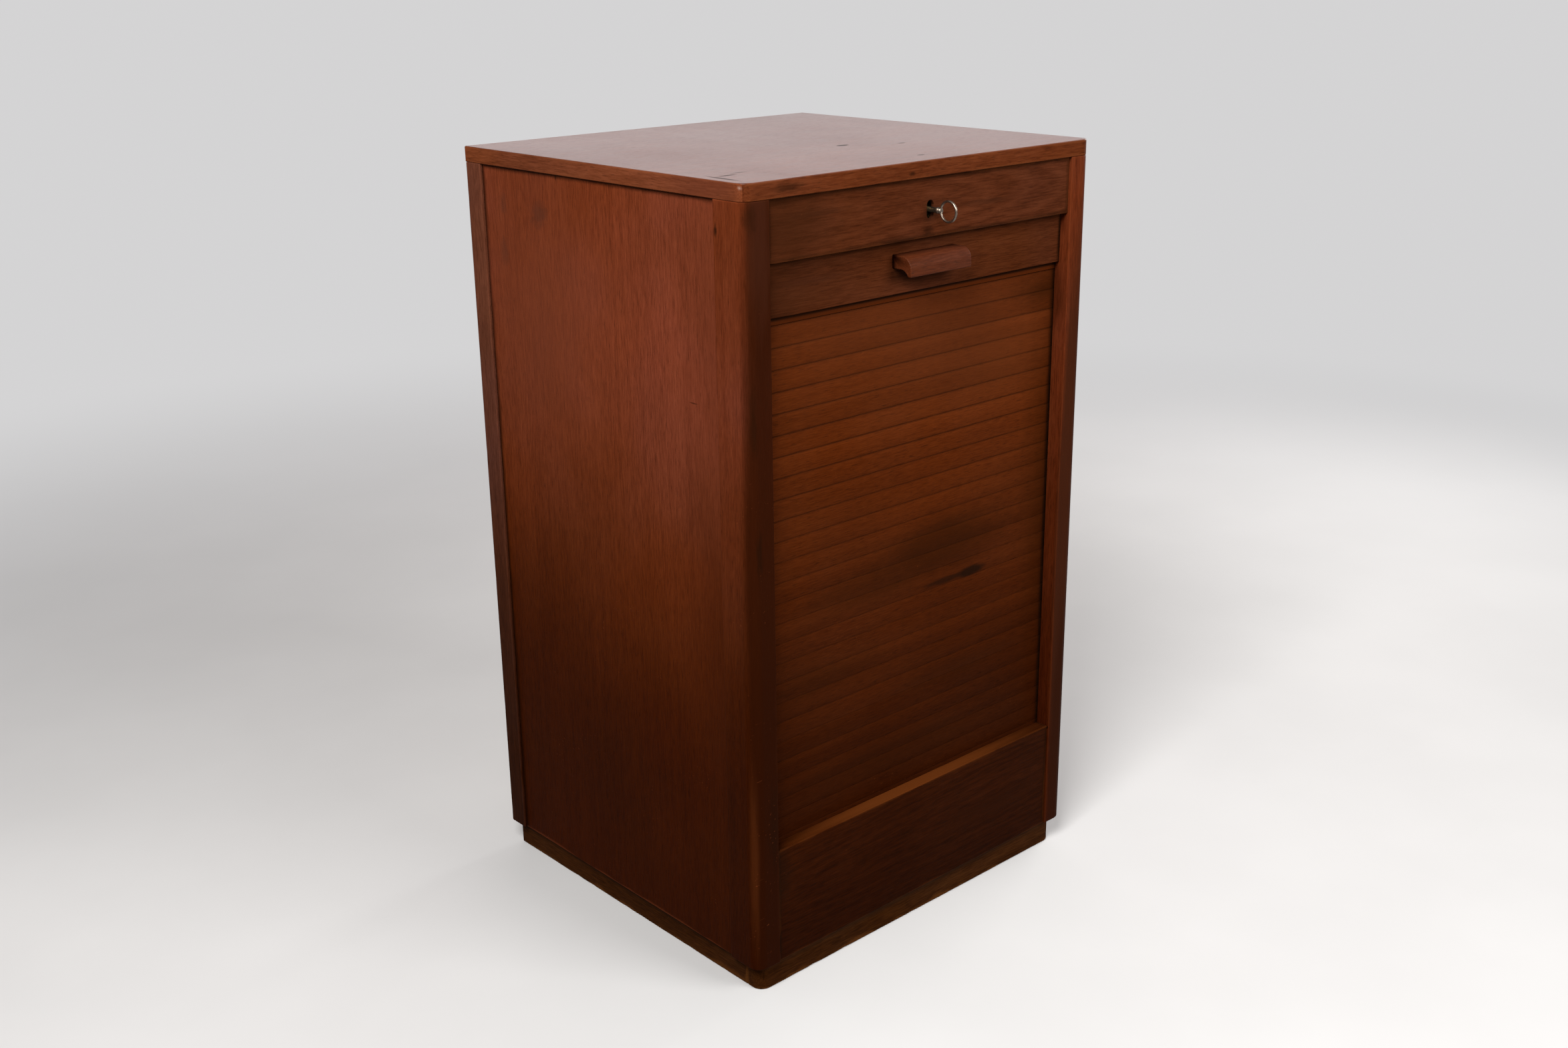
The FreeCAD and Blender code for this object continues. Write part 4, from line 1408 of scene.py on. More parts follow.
@dataclass
class Carcass:
    """Top board, posts, side panels, rails and back.

    Marks, painted shade and painted highlights that lie on a face have zero there, and are moved to the face
    when the piece is dressed.
    """

    shop: Workshop
    ease: float = 0.9 * MM
    panel_ease: float = 0.4 * MM
    rail_ease: float = 0.7 * MM
    step: float = 9.0 * MM
    depth: float = 0.45 * MM
    band: float = 2.2 * MM
    wear_shift: float = 1.7
    apron_wear: float = 0.6
    band_turn: float = 0.72
    top_heart: Point = (0.0, 0.02, 0.70)
    top_seed: float = 0.6
    band_seed: float = 2.9
    post_heart: Point = (0.3, 0.09, -0.16)
    panel_heart: Point = (0.0, 0.05, -0.30)
    panel_foot_shade: Pair = (0.17, 0.66)
    panel_margin: float = 0.1
    rail_heart: Point = (-0.148, 0.030, 0.009)
    apron_heart: Point = (1.95, 0.10, 0.13)
    apron_seed: float = 5.0
    apron_foot_shade: Pair = (0.02, 0.16)
    apron_margin: float = 2.0 * MM
    back_heart: Point = (0.0, 0.16, 0.05)
    back_seed: float = 7.0
    post_looks: dict[str, tuple[WoodFinish, float, Pair]] = field(default_factory=lambda: {
        "front_post_left": (CORNER, 1.3, (0.17, 0.66)), "front_post_right": (POST, 4.1, (0.06, 0.70)),
        "rear_post_left": (REAR_POST, 2.7, (0.12, 0.70)), "rear_post_right": (REAR_POST, 6.2, (0.12, 0.70)),
    })
    panel_seeds: dict[str, float] = field(default_factory=lambda: {
        "side_panel_left": 3.4, "side_panel_right": 8.8,
    })
    top_marks: tuple[Spot, ...] = (
        Spot((0.0233, -0.0553, 0.800), (0.0090, 0.0048, 0.01), SOOT_AND_SHADOW, 1.0, 0.2, 0.6),
        Spot((0.0774, -0.0849, 0.800), (0.0060, 0.0036, 0.01), SOOT_AND_SHADOW, 0.8, 0.3, 0.4),
        Spot((0.0167, -0.1688, 0.800), (0.0060, 0.0038, 0.01), SOOT_AND_SHADOW, 0.8, 0.3, 0.4),
        Spot((-0.2225, -0.1600, 0.800), (0.0034, 0.0280, 0.01), SOOT_AND_SHADOW, 0.9, 0.3, 0.4),
        Spot((-0.2060, -0.1475, 0.800), (0.0140, 0.0034, 0.01), SOOT_AND_SHADOW, 0.9, 0.3, 0.4),
        Spot((-0.1870, -0.1400, 0.800), (0.0130, 0.0028, 0.01), SOOT_AND_SHADOW, 0.7, 0.4, 0.3),
        Spot((-0.2260, -0.1880, 0.7940), (0.0100, 0.0100, 0.0060), SOOT_AND_SHADOW, 0.6, 0.9),
    )
    top_front_marks: tuple[Spot, ...] = (
        Spot((-0.1827, 0.0, 0.7924), (0.028, 0.01, 0.006), SOOT_AND_SHADOW, 0.6, 1.2),
        Spot((-0.0286, 0.0, 0.7893), (0.006, 0.01, 0.003), SOOT_AND_SHADOW, 0.7),
    )
    top_end_scuff: Spot = Spot((0.0, -0.150, 0.792), (0.01, 0.070, 0.02), (0.090, 0.0220, 0.0105), 0.5, 0.8)
    top_chip: Spot = Spot(
        (-0.2305, -0.1930, 0.7958), (0.0042, 0.0042, 0.0034), (0.46, 0.34, 0.27), 0.95, 0.8
    )
    left_marks: tuple[Spot, ...] = (
        Spot((0.0195, 0.0, 0.40), (0.0268, 0.0300, 0.80), (0.0210, 0.0042, 0.0010), 0.92, 0.40, 0.56),
        Spot((0.0180, 0.0, 0.755), (0.020, 0.010, 0.110), (0.050, 0.0140, 0.0066), 0.5, 0.8),
        Spot((0.0030, 0.0055, 0.15), (0.0065, 0.0070, 0.14), (0.085, 0.0205, 0.0050), 0.45, 0.8, 0.2),
        Spot((0.0080, 0.0, 0.588), (0.006, 0.006, 0.045), SOOT_AND_SHADOW, 0.50, 1.3),
        Spot((0.0120, 0.0, 0.465), (0.005, 0.006, 0.030), SOOT_AND_SHADOW, 0.55, 1.3),
        Spot((0.0250, 0.0, 0.180), (0.010, 0.006, 0.060), SOOT_AND_SHADOW, 0.45, 1.3),
        Spot((0.0060, 0.0, 0.770), (0.012, 0.010, 0.018), SOOT_AND_SHADOW, 0.45, 1.2),
        Spot((0.0, 0.0374, 0.757), (0.004, 0.0028, 0.008), SOOT_AND_SHADOW, 0.80, 1.2),
    )
    right_marks_and_shadow: tuple[Spot, ...] = (
        Spot((-0.014, 0.0, 0.36), (0.0210, 0.0060, 0.42), (0.040, 0.0108, 0.0042), 0.85, 0.4, 0.6),
        Spot((-0.013, 0.0, 0.12), (0.0210, 0.0060, 0.24), (0.0210, 0.0042, 0.0010), 0.60, 0.6, 0.4),
        # Painted shadow of the lead rail on the right post's reveal, just below the rail.
        Spot((-0.030, 0.014, 0.64), (0.0040, 0.0200, 0.045), (0.0210, 0.0042, 0.0010), 0.50, 0.6),
    )
    panel_marks_and_sheen: tuple[Spot, ...] = (
        Spot((0.0, 0.110, 0.743), (0.01, 0.020, 0.016), (0.050, 0.019, 0.011), 0.50, 1.3),
        Spot((0.0, 0.174, 0.699), (0.01, 0.010, 0.020), (0.050, 0.019, 0.011), 0.40, 1.3),
        Spot((0.0, 0.172, 0.747), (0.01, 0.009, 0.014), (0.050, 0.019, 0.011), 0.35, 1.3),
        Spot((0.0, 0.0775, 0.781), (0.01, 0.0016, 0.004), SOOT_AND_SHADOW, 0.8),
        Spot((0.0, -0.122, 0.5948), (0.01, 0.0085, 0.0010), SOOT_AND_SHADOW, 0.75, 0.5),
        # Painted sheen: a paler, greyer patch on the upper back of the side panel.
        Spot((0.0, 0.100, 0.640), (0.01, 0.170, 0.190), (0.165, 0.0430, 0.0225), 0.40, 0.7, 0.0),
        Spot((0.0, -0.170, 0.620), (0.01, 0.090, 0.260), (0.104, 0.0225, 0.0082), 0.55, 0.7, 0.0),
        Spot((0.0, -0.165, 0.370), (0.01, 0.095, 0.240), (0.044, 0.0085, 0.0018), 0.60, 0.7, 0.0),
    )
    rail_marks: tuple[Spot, ...] = (
        Spot((0.004, 0.0, 0.7515), (0.020, 0.01, 0.019), (0.038, 0.011, 0.005), 0.62, 1.0),
        Spot((-0.002, 0.0, 0.7335), (0.010, 0.01, 0.006), SOOT_AND_SHADOW, 0.5, 1.2),
        Spot((-0.1914, 0.0, 0.7787), (0.030, 0.01, 0.006), SOOT_AND_SHADOW, 0.5, 1.2),
        Spot((-0.152, 0.0, 0.766), (0.050, 0.01, 0.005), (0.040, 0.012, 0.005), 0.5, 1.4),
        Spot((0.0835, 0.0, 0.7528), (0.055, 0.01, 0.004), (0.040, 0.012, 0.005), 0.5, 1.4),
        Spot((-0.186, 0.0, 0.752), (0.110, 0.01, 0.060), (0.036, 0.0098, 0.0030), 0.70, 0.8, 0.0),
    )
    # Painted shade inside the keyhole.
    keyhole_shade: Spot = Spot((0.0, 0.0080, 0.0), (0.007, 0.0078, 0.012), SOOT_AND_SHADOW, 1.0, 0.0, 0.9)
    # Painted highlight: the apron's top edge, coloured pale as if lit from above.
    apron_edge_highlight: Spot = Spot((0.0, -0.008, 0.0), (0.24, 0.02, 0.0008), (0.112, 0.0285, 0.0056), 0.85, 0.25)
    apron_marks: tuple[Spot, ...] = (
        Spot((-0.20, 0.0, 0.120), (0.02, 0.01, 0.05), SOOT_AND_SHADOW, 0.5, 1.2),
        Spot((0.12, 0.0, 0.085), (0.11, 0.01, 0.022), (0.024, 0.0054, 0.0012), 0.5, 1.2),
    )

    def board(self, node: str, axis: int, wear: float = 1.0) -> Piece:
        """Makes a board with worn edges.

        Args:
            node: the CAD node.
            axis: direction of its length.
            wear: share of the usual wear.

        Returns:
            The board.
        """
        piece = self.shop.eased(node, self.ease, (axis, self.step))
        seed = len(node) * self.wear_shift
        self.shop.wander(piece, self.shop.corners(node), self.depth * wear, self.band, seed)
        return piece

    def top(self) -> None:
        """Top board with its chipped front corner, marks in its surface and banded ends."""
        node = "top_board"
        low, _ = box = self.shop.corners(node)
        front = tuple(mark_or_painted_light.at(y=low[1]) for mark_or_painted_light in self.top_front_marks)
        material = self.shop.finisher.wood(WoodPlan(
            TOP, "top_board_wood", Grain.ALONG_X, box, self.top_heart, self.top_seed,
            spots=(*self.top_marks, *front, self.top_chip), foot_shade=None,
        ))
        band = self.shop.finisher.wood(WoodPlan(
            BAND, "top_band_wood", Grain.ALONG_Y, box, self.top_heart, self.band_seed,
            spots=(self.top_end_scuff.at(x=low[0]), self.top_chip), foot_shade=None,
        ))
        piece = self.shop.dress(self.board(node, 0), material, node)
        piece.data.materials.append(band)
        for face in piece.data.polygons:
            face.material_index = 1 if abs(face.normal.x) > self.band_turn else 0

    def posts(self) -> None:
        """Four posts: the front ones go on from the side panels and are dark round their corners, and the
        right one has a painted shadow on its reveal under the lead rail.
        """
        outer, face, _ = self.shop.corners("front_post_left")[0]
        marks = {
            "front_post_left": tuple(mark_or_painted_light.at(outer, face) for mark_or_painted_light in self.left_marks),
            "front_post_right": tuple(mark_or_painted_light.at(-outer, face) for mark_or_painted_light in self.right_marks_and_shadow),
        }
        x, y, z = self.post_heart
        for node, (finish, seed, foot_shade) in self.post_looks.items():
            low, high = self.shop.corners(node)
            heart = (x, y, -z if "left" in node else z)
            rubbed = (low, (high[0], FAR if "front" in node else high[1], high[2]))
            material = self.shop.finisher.wood(WoodPlan(
                finish, node + "_wood", Grain.UPRIGHT, rubbed, heart, seed, spots=marks.get(node, ()),
                foot_shade=foot_shade,
            ))
            self.shop.dress(self.board(node, 2), material, node)

    def panels(self) -> None:
        """Side panels with fine upright grain, dirt and painted shade along their borders, and a painted
        sheen on their upper back.
        """
        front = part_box("front_post_left")[1].y
        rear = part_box("rear_post_left")[0].y
        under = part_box("top_board")[0].z
        x, y, z = self.panel_heart
        for node, seed in self.panel_seeds.items():
            low, high = box = self.shop.corners(node)
            left = "left" in node
            face = low[0] if left else high[0]
            dirt_and_shade_box = ((-FAR, front - FAR, low[2] - self.panel_margin), (FAR, rear, under))
            material = self.shop.finisher.wood(WoodPlan(
                CASE, node + "_wood", Grain.UPRIGHT, box, (x, y, -z if left else z), seed, dirt_and_shade_box,
                tuple(mark_or_painted_light.at(x=face) for mark_or_painted_light in self.panel_marks_and_sheen), foot_shade=self.panel_foot_shade,
            ))
            self.shop.dress(self.shop.eased(node, self.panel_ease), material, node)

    def lock_rail(self) -> None:
        """Lock rail with its cathedral figure, its worn keyhole with painted shade inside, and dirt and
        painted shade along its edges.
        """
        node = "lock_rail"
        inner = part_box("front_post_left")[1].x
        low, high = self.shop.corners(node)
        face = low[1]
        key_z = (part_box("key")[0].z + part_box("key")[1].z) / 2
        x, y, z = self.rail_heart
        marks = tuple(mark_or_painted_light.at(y=face) for mark_or_painted_light in self.rail_marks)
        material = self.shop.finisher.wood(WoodPlan(
            LOCK_RAIL, "lock_rail_wood", Grain.ALONG_X, ((inner, face, low[2]), (-inner, high[1], high[2])),
            (x, face + y, key_z + z), dirt_and_shade_box=((inner, -FAR, low[2]), (-inner, FAR, high[2])),
            spots=(*marks, self.keyhole_shade.at(y=face, z=key_z)),
        ))
        self.shop.dress(self.shop.eased(node, self.rail_ease), material, node)

    def apron(self) -> None:
        """Apron with a painted highlight along its top edge."""
        node = "apron"
        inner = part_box("front_post_left")[1].x
        low, high = self.shop.corners(node)
        face = low[1]
        x, y, z = self.apron_heart
        dirt_and_shade_box = ((inner, -FAR, low[2] - self.apron_margin), (-inner, FAR, FAR))
        marks = tuple(mark_or_painted_light.at(y=face) for mark_or_painted_light in self.apron_marks)
        material = self.shop.finisher.wood(WoodPlan(
            APRON, "apron_wood", Grain.ALONG_X, ((inner, face, low[2]), (-inner, high[1], high[2])),
            (x, face + y, z), self.apron_seed, dirt_and_shade_box,
            (self.apron_edge_highlight.at(y=high[1], z=high[2]), *marks), foot_shade=self.apron_foot_shade,
        ))
        self.shop.dress(self.board(node, 0, self.apron_wear), material, node)

    def back(self) -> None:
        """Plywood back."""
        node = "back_panel"
        low, high = box = self.shop.corners(node)
        dirt_and_shade_box = ((low[0], -FAR, low[2]), (high[0], FAR, high[2]))
        material = self.shop.finisher.wood(WoodPlan(
            PLYWOOD, "back_panel_wood", Grain.UPRIGHT, box, self.back_heart, self.back_seed, dirt_and_shade_box
        ))
        self.shop.repaint(node, material)

    def build(self) -> None:
        """Makes and dresses every piece."""
        self.top()
        self.posts()
        self.panels()
        self.lock_rail()
        self.apron()
        self.back()


@dataclass
class Plinth:
    """Four worn rails under the cabinet."""

    shop: Workshop
    ease: float = 1.4 * MM
    step: float = 9.0 * MM
    depth: float = 0.8 * MM
    band: float = 3.5 * MM
    heart: Point = (0.0, 0.05, -0.06)
    grain_shift: float = 1.9
    wear_seed: float = 3.0
    shadow: Spot = Spot((0.0, 0.0, 0.0), (0.6, 0.6, 0.011), (0.030, 0.014, 0.007), 0.85, 0.6)
    rails: dict[str, Grain] = field(default_factory=lambda: {
        "plinth_front": Grain.ALONG_X, "plinth_rear": Grain.ALONG_X,
        "plinth_left": Grain.ALONG_Y, "plinth_right": Grain.ALONG_Y,
    })

    def build(self) -> None:
        """Makes and dresses the rails."""
        for index, (node, grain) in enumerate(self.rails.items()):
            low, high = box = self.shop.corners(node)
            shadow = self.shadow.at((low[0] + high[0]) / 2, (low[1] + high[1]) / 2, high[2])
            material = self.shop.finisher.wood(WoodPlan(
                PLINTH, node + "_wood", grain, box, self.heart, self.grain_shift * index, spots=(shadow,),
                foot_shade=None,
            ))
            axis = 0 if grain is Grain.ALONG_X else 1
            piece = self.shop.eased(node, self.ease, (axis, self.step))
            self.shop.wander(piece, box, self.depth, self.band, self.wear_seed + index)
            self.shop.dress(piece, material, node)


@dataclass
class Interior:
    """Shelves with their pegs, floor, false back, guide boards and bottom."""

    shop: Workshop
    ease: float = 0.8 * MM
    heart: Point = (0.0, 0.10, -0.15)
    peg_radius: float = 3.0 * MM
    peg_length: float = 15.0 * MM
    peg_ease: float = 1.0 * MM
    peg_seed: float = 2.0
    in_view: tuple[str, ...] = ("shelf_1", "shelf_2", "inner_floor")
    boards: dict[str, tuple[Grain, float]] = field(default_factory=lambda: {
        "shelf_1": (Grain.ALONG_X, 1.0), "shelf_2": (Grain.ALONG_X, 2.6),
        "inner_floor": (Grain.ALONG_X, 4.4), "bottom_board": (Grain.ALONG_X, 5.7),
        "false_back": (Grain.UPRIGHT, 3.1),
        "guide_board_left": (Grain.UPRIGHT, 6.6), "guide_board_right": (Grain.UPRIGHT, 8.1),
    })

    def build(self) -> None:
        """Makes and dresses every inner piece."""
        for node, (grain, seed) in self.boards.items():
            box = self.shop.corners(node)
            material = self.shop.finisher.wood(WoodPlan(INNER, node + "_wood", grain, box, self.heart, seed))
            if node in self.in_view:
                self.shop.dress(self.shop.eased(node, self.ease), material, node)
            else:
                self.shop.repaint(node, material)
        self.pegs()

    def pegs(self) -> None:
        """Turned pegs under the shelves."""
        node = "shelf_pegs"
        material = self.shop.finisher.wood(WoodPlan(
            INNER, "shelf_peg_wood", Grain.ALONG_X, self.shop.corners(node), (0.0, 0.0, 0.0), self.peg_seed
        ))
        piece = PegTool().make(
            "shelf_pegs_dressed", self.shop.loose_middles(node), radius=self.peg_radius,
            length=self.peg_length, ease=self.peg_ease, material=material,
        )
        self.shop.dress(piece, material, node)


@dataclass
class Shutter:
    """Slats, lead rail, pull and the canvas behind them."""

    shop: Workshop
    count: int = 26
    ease: float = 0.32 * MM
    swell: float = 0.44 * MM
    bow: float = 0.35 * MM
    bow_seed: float = 1.0
    bow_shift: float = 0.77
    half_joint: float = 0.3 * MM
    keep: float = 0.16
    slat_heart: Point = (0.05, -0.33, 0.46)
    slat_foot: Pair = (0.10, 0.68)
    lead_ease: float = 0.7 * MM
    lead_heart: Point = (0.0, -0.28, 0.55)
    lead_seed: float = 2.2
    nose: float = 11.5 * MM
    nose_steps: int = 18
    lip: float = 4.0 * MM
    lip_weight: float = 0.8
    under: Pair = (3.48 * MM, 4.26 * MM)
    hollow: float = 12.0 * MM
    hollow_steps: int = 14
    rise: float = 6.0 * MM
    pull_ease: float = 1.0 * MM
    pull_back: float = 1.0 * MM
    pull_heart: Point = (0.0, -0.20, 0.62)
    pull_seed: float = 1.1
    same_place: float = 0.01 * MM
    cloth_columns: int = 24
    cloth_rows_per_slat: int = 6
    cloth_front: float = 0.30 * MM
    cloth_wall: float = 0.4 * MM
    dip: float = 0.16 * MM
    dip_width: float = 1.6 * MM
    ripple: float = 0.08 * MM
    ripple_scale: int = 30
    cloud: Colour = (0.024, 0.0060, 0.0013)
    slat_marks: tuple[Spot, ...] = (
        Spot((0.040, 0.0, 0.408), (0.135, 0.05, 0.042), cloud, 0.62, 0.9),
        Spot((-0.075, 0.0, 0.385), (0.120, 0.05, 0.026), cloud, 0.42, 1.1),
        Spot((0.086, 0.0, 0.3660), (0.028, 0.05, 0.0075), SOOT_AND_SHADOW, 0.90, 0.5, 0.4),
        Spot((0.046, 0.0, 0.3660), (0.040, 0.05, 0.0046), SOOT_AND_SHADOW, 0.70, 0.6, 0.4),
        Spot((-0.120, 0.0, 0.310), (0.110, 0.05, 0.022), cloud, 0.36, 1.1),
        Spot((0.060, 0.0, 0.262), (0.140, 0.05, 0.018), cloud, 0.28, 1.1),
        Spot((-0.030, 0.0, 0.195), (0.190, 0.05, 0.030), cloud, 0.28, 1.1),
        Spot((0.130, 0.0, 0.590), (0.090, 0.05, 0.060), (0.118, 0.0270, 0.0056), 0.35, 0.8, 0.0),
        Spot((0.0, 0.0, 0.650), (0.300, 0.05, 0.130), (0.084, 0.0216, 0.0066), 0.50, 0.7, 0.0),
        Spot((0.215, 0.0, 0.430), (0.062, 0.05, 0.330), cloud, 0.72, 0.5, 0.0),
        Spot((0.195, 0.0, 0.652), (0.090, 0.05, 0.030), cloud, 0.72, 0.8, 0.0),
    )
    # Painted shadow in the gap between the slats' right ends and the post.
    slat_end_dark: Spot = Spot((0.0, 0.0, 0.410), (0.0050, 0.05, 0.400), SOOT_AND_SHADOW, 0.85, 0.4, 0.2)
    flange_colour_and_shadow: tuple[Spot, ...] = (
        # The flange in the slats' own colour.
        Spot((0.0, 0.0, 0.0), (FAR, 0.0040, 0.0070), SHUTTER.middle, 0.80, 0.0, 0.3),
        # Painted shadow under the lead rail's batten, on the upper part of the flange.
        Spot((0.0, 0.0, 0.0066), (FAR, 0.0060, 0.0038), SOOT_AND_SHADOW, 0.92, 0.25, 0.35),
    )
    # Painted shadow at the lead rail's right end, along the post's reveal.
    lead_end_shadow: Spot = Spot((0.0, 0.0, 0.702), (0.0055, 0.02, 0.035), SOOT_AND_SHADOW, 0.90, 0.4, 0.2)
    pull_shadow: Spot = Spot((-0.004, 0.0, -0.002), (0.056, 0.004, 0.016), SOOT_AND_SHADOW, 0.75, 0.6, 0.1)
    lead_marks: tuple[Spot, ...] = (
        Spot((-0.15, 0.0, 0.705), (0.06, 0.02, 0.006), (0.045, 0.013, 0.006), 0.4, 1.4),
        Spot((-0.190, 0.0, 0.700), (0.120, 0.02, 0.060), (0.036, 0.0098, 0.0030), 0.45, 0.8, 0.0),
    )

    def slats(self) -> None:
        """Flush slats cut from one figured board, each on its own body, with a painted shadow at their right
        ends.
        """
        first_low, first_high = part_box("slat_01")
        face = first_low.y
        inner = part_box("front_post_right")[0].x
        marks = tuple(mark_or_painted_light.at(y=face) for mark_or_painted_light in self.slat_marks)
        material = self.shop.finisher.wood(WoodPlan(
            SHUTTER, "slat_wood", Grain.ALONG_X, ((-FAR, -FAR, -FAR), (FAR, FAR, FAR)), self.slat_heart,
            dirt_and_shade_box=((-inner, -FAR, -FAR), (inner, FAR, FAR)),
            spots=(*marks, self.slat_end_dark.at(inner, face)),
            joints=(first_high.z + self.half_joint, self.pitch()), foot_shade=self.slat_foot,
        ))
        tool = SlatTool()
        for index in range(self.count):
            node = "slat_%02d" % (index + 1)
            low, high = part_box(node)
            size = high - low
            piece = tool.make(
                node + "_dressed", [tuple((low + high) / 2)], length=size.x, height=size.z + self.swell,
                thickness=size.y, ease=self.ease, bow=self.bow, seed=self.bow_seed + index * self.bow_shift,
                material=material,
            )
            self.shop.dress(piece, material, node)
            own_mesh(piece)

    @staticmethod
    def pitch() -> float:
        """Distance from slat to slat."""
        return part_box("slat_01")[1].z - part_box("slat_02")[1].z

    def lead(self) -> None:
        """Lead rail with its thin flange, and painted shadows under its batten, under the pull and at its
        right end.
        """
        node = "lead_rail"
        low, high = box = self.shop.corners(node)
        face = low[1]
        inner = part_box("front_post_right")[0].x
        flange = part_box("slat_01")[0].y
        spots = (
            *(mark_or_painted_light.at(y=flange, z=low[2]) for mark_or_painted_light in self.flange_colour_and_shadow),
            self.lead_end_shadow.at(inner, face),
            self.pull_shadow.at(y=face, z=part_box("pull")[0].z),
            *(mark_or_painted_light.at(y=face) for mark_or_painted_light in self.lead_marks),
        )
        material = self.shop.finisher.wood(WoodPlan(
            LEAD_RAIL, "lead_rail_wood", Grain.ALONG_X, box, self.lead_heart, self.lead_seed,
            ((-inner, -FAR, low[2]), (inner, FAR, high[2])), spots,
        ))
        self.shop.dress(self.shop.eased(node, self.lead_ease), material, node)

    def pull_outline(self, low: Vector, high: Vector) -> tuple[list[Pair], int]:
        """Section of the pull, seen along X.

        Args:
            low: lowest corner of the pull.
            high: its highest corner.

        Returns:
            The points round the section, and the number of those before the hollow.
        """
        slack = self.nose * (1.0 - math.sqrt(0.5))
        over = [(high.y, high.z)]
        over += arc(
            (low.y + self.nose, high.z), (low.y + slack, high.z - slack), (low.y, high.z - self.nose),
            self.nose_steps,
        )
        over.append((low.y, low.z))
        lip = low.y + self.lip
        hollow = arc(
            (lip, low.z), (lip + self.under[0], low.z + self.under[1]),
            (lip + self.hollow, low.z + self.rise), self.hollow_steps,
        )
        return over + hollow + [(high.y, low.z + self.rise)], len(over)

    def pull(self) -> None:
        """Wooden pull with a flat top and a round nose, hollowed underneath."""
        node = "pull"
        low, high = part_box(node)
        outline, over = self.pull_outline(low, high)
        bm = bmesh.new()
        ends = [[bm.verts.new((x, y, z)) for y, z in outline] for x in (low.x, high.x)]
        weights = bm.edges.layers.float.new("bevel_weight_edge")
        for index, end in enumerate(ends):
            face = bm.faces.new(end if index else list(reversed(end)))
            for edge in face.edges:
                if min(vertex.co.y for vertex in edge.verts) < high.y - self.pull_back:
                    edge[weights] = 1.0
        for index in range(len(outline)):
            after = (index + 1) % len(outline)
            bm.faces.new((ends[0][index], ends[0][after], ends[1][after], ends[1][index]))
        lips = [vertex.co.yz for vertex in ends[0][over - 1:over + 1]]
        for edge in bm.edges:
            first, second = (vertex.co.yz for vertex in edge.verts)
            if first == second and any((first - corner).length < self.same_place for corner in lips):
                edge[weights] = self.lip_weight
        bmesh.ops.recalc_face_normals(bm, faces=bm.faces)
        piece = self.shop.rounded("pull_dressed", bm, self.pull_ease)
        grip = ((low.x, -FAR, -FAR), (high.x, FAR, FAR))
        material = self.shop.finisher.wood(WoodPlan(
            PULL, "pull_grain", Grain.ALONG_X, grip, self.pull_heart, self.pull_seed
        ))
        self.shop.dress(piece, material, node)

    def canvas(self) -> None:
        """Cloth glued behind the slats, drawn in a little at each joint."""
        node = "canvas"
        low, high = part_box(node)
        top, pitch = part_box("slat_01")[1].z, self.pitch()
        columns, rows = self.cloth_columns, self.count * self.cloth_rows_per_slat
        bm = bmesh.new()
        grid = []
        for row in range(rows + 1):
            z = low.z + (high.z - low.z) * row / rows
            line = []
            for column in range(columns + 1):
                x = low.x + (high.x - low.x) * column / columns
                share = ((top - z) / pitch) % 1.0
                y = low.y + self.cloth_depth(x, z, min(share, 1 - share) * pitch)
                line.append(bm.verts.new((x, y, z)))
            grid.append(line)
        for below, above in zip(grid, grid[1:]):
            for column in range(columns):
                bm.faces.new((below[column], below[column + 1], above[column + 1], above[column]))
        piece = self.shop.smoothed("canvas_dressed", bm)
        wall = piece.modifiers.new("cloth", "SOLIDIFY")
        wall.thickness = self.cloth_wall
        wall.offset = -1.0
        self.shop.bake(piece)
        self.shop.dress(piece, self.shop.finisher.cloth(CANVAS, "canvas_cloth"), node)
        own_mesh(piece)

    def cloth_depth(self, x: float, z: float, joint: float) -> float:
        """Depth of the cloth behind the canvas node's front.

        Args:
            x: place across.
            z: height.
            joint: distance to the nearest joint of the slats.

        Returns:
            The depth, less at the joints.
        """
        dip = self.dip * math.exp(-(joint / self.dip_width) ** 2)
        ripple = self.ripple * noise.noise(Vector((x * self.ripple_scale, z * self.ripple_scale, 1.0)))
        return self.cloth_front - dip + ripple

    def build(self) -> None:
        """Makes and dresses every piece."""
        self.slats()
        self.lead()
        self.pull()
        self.canvas()


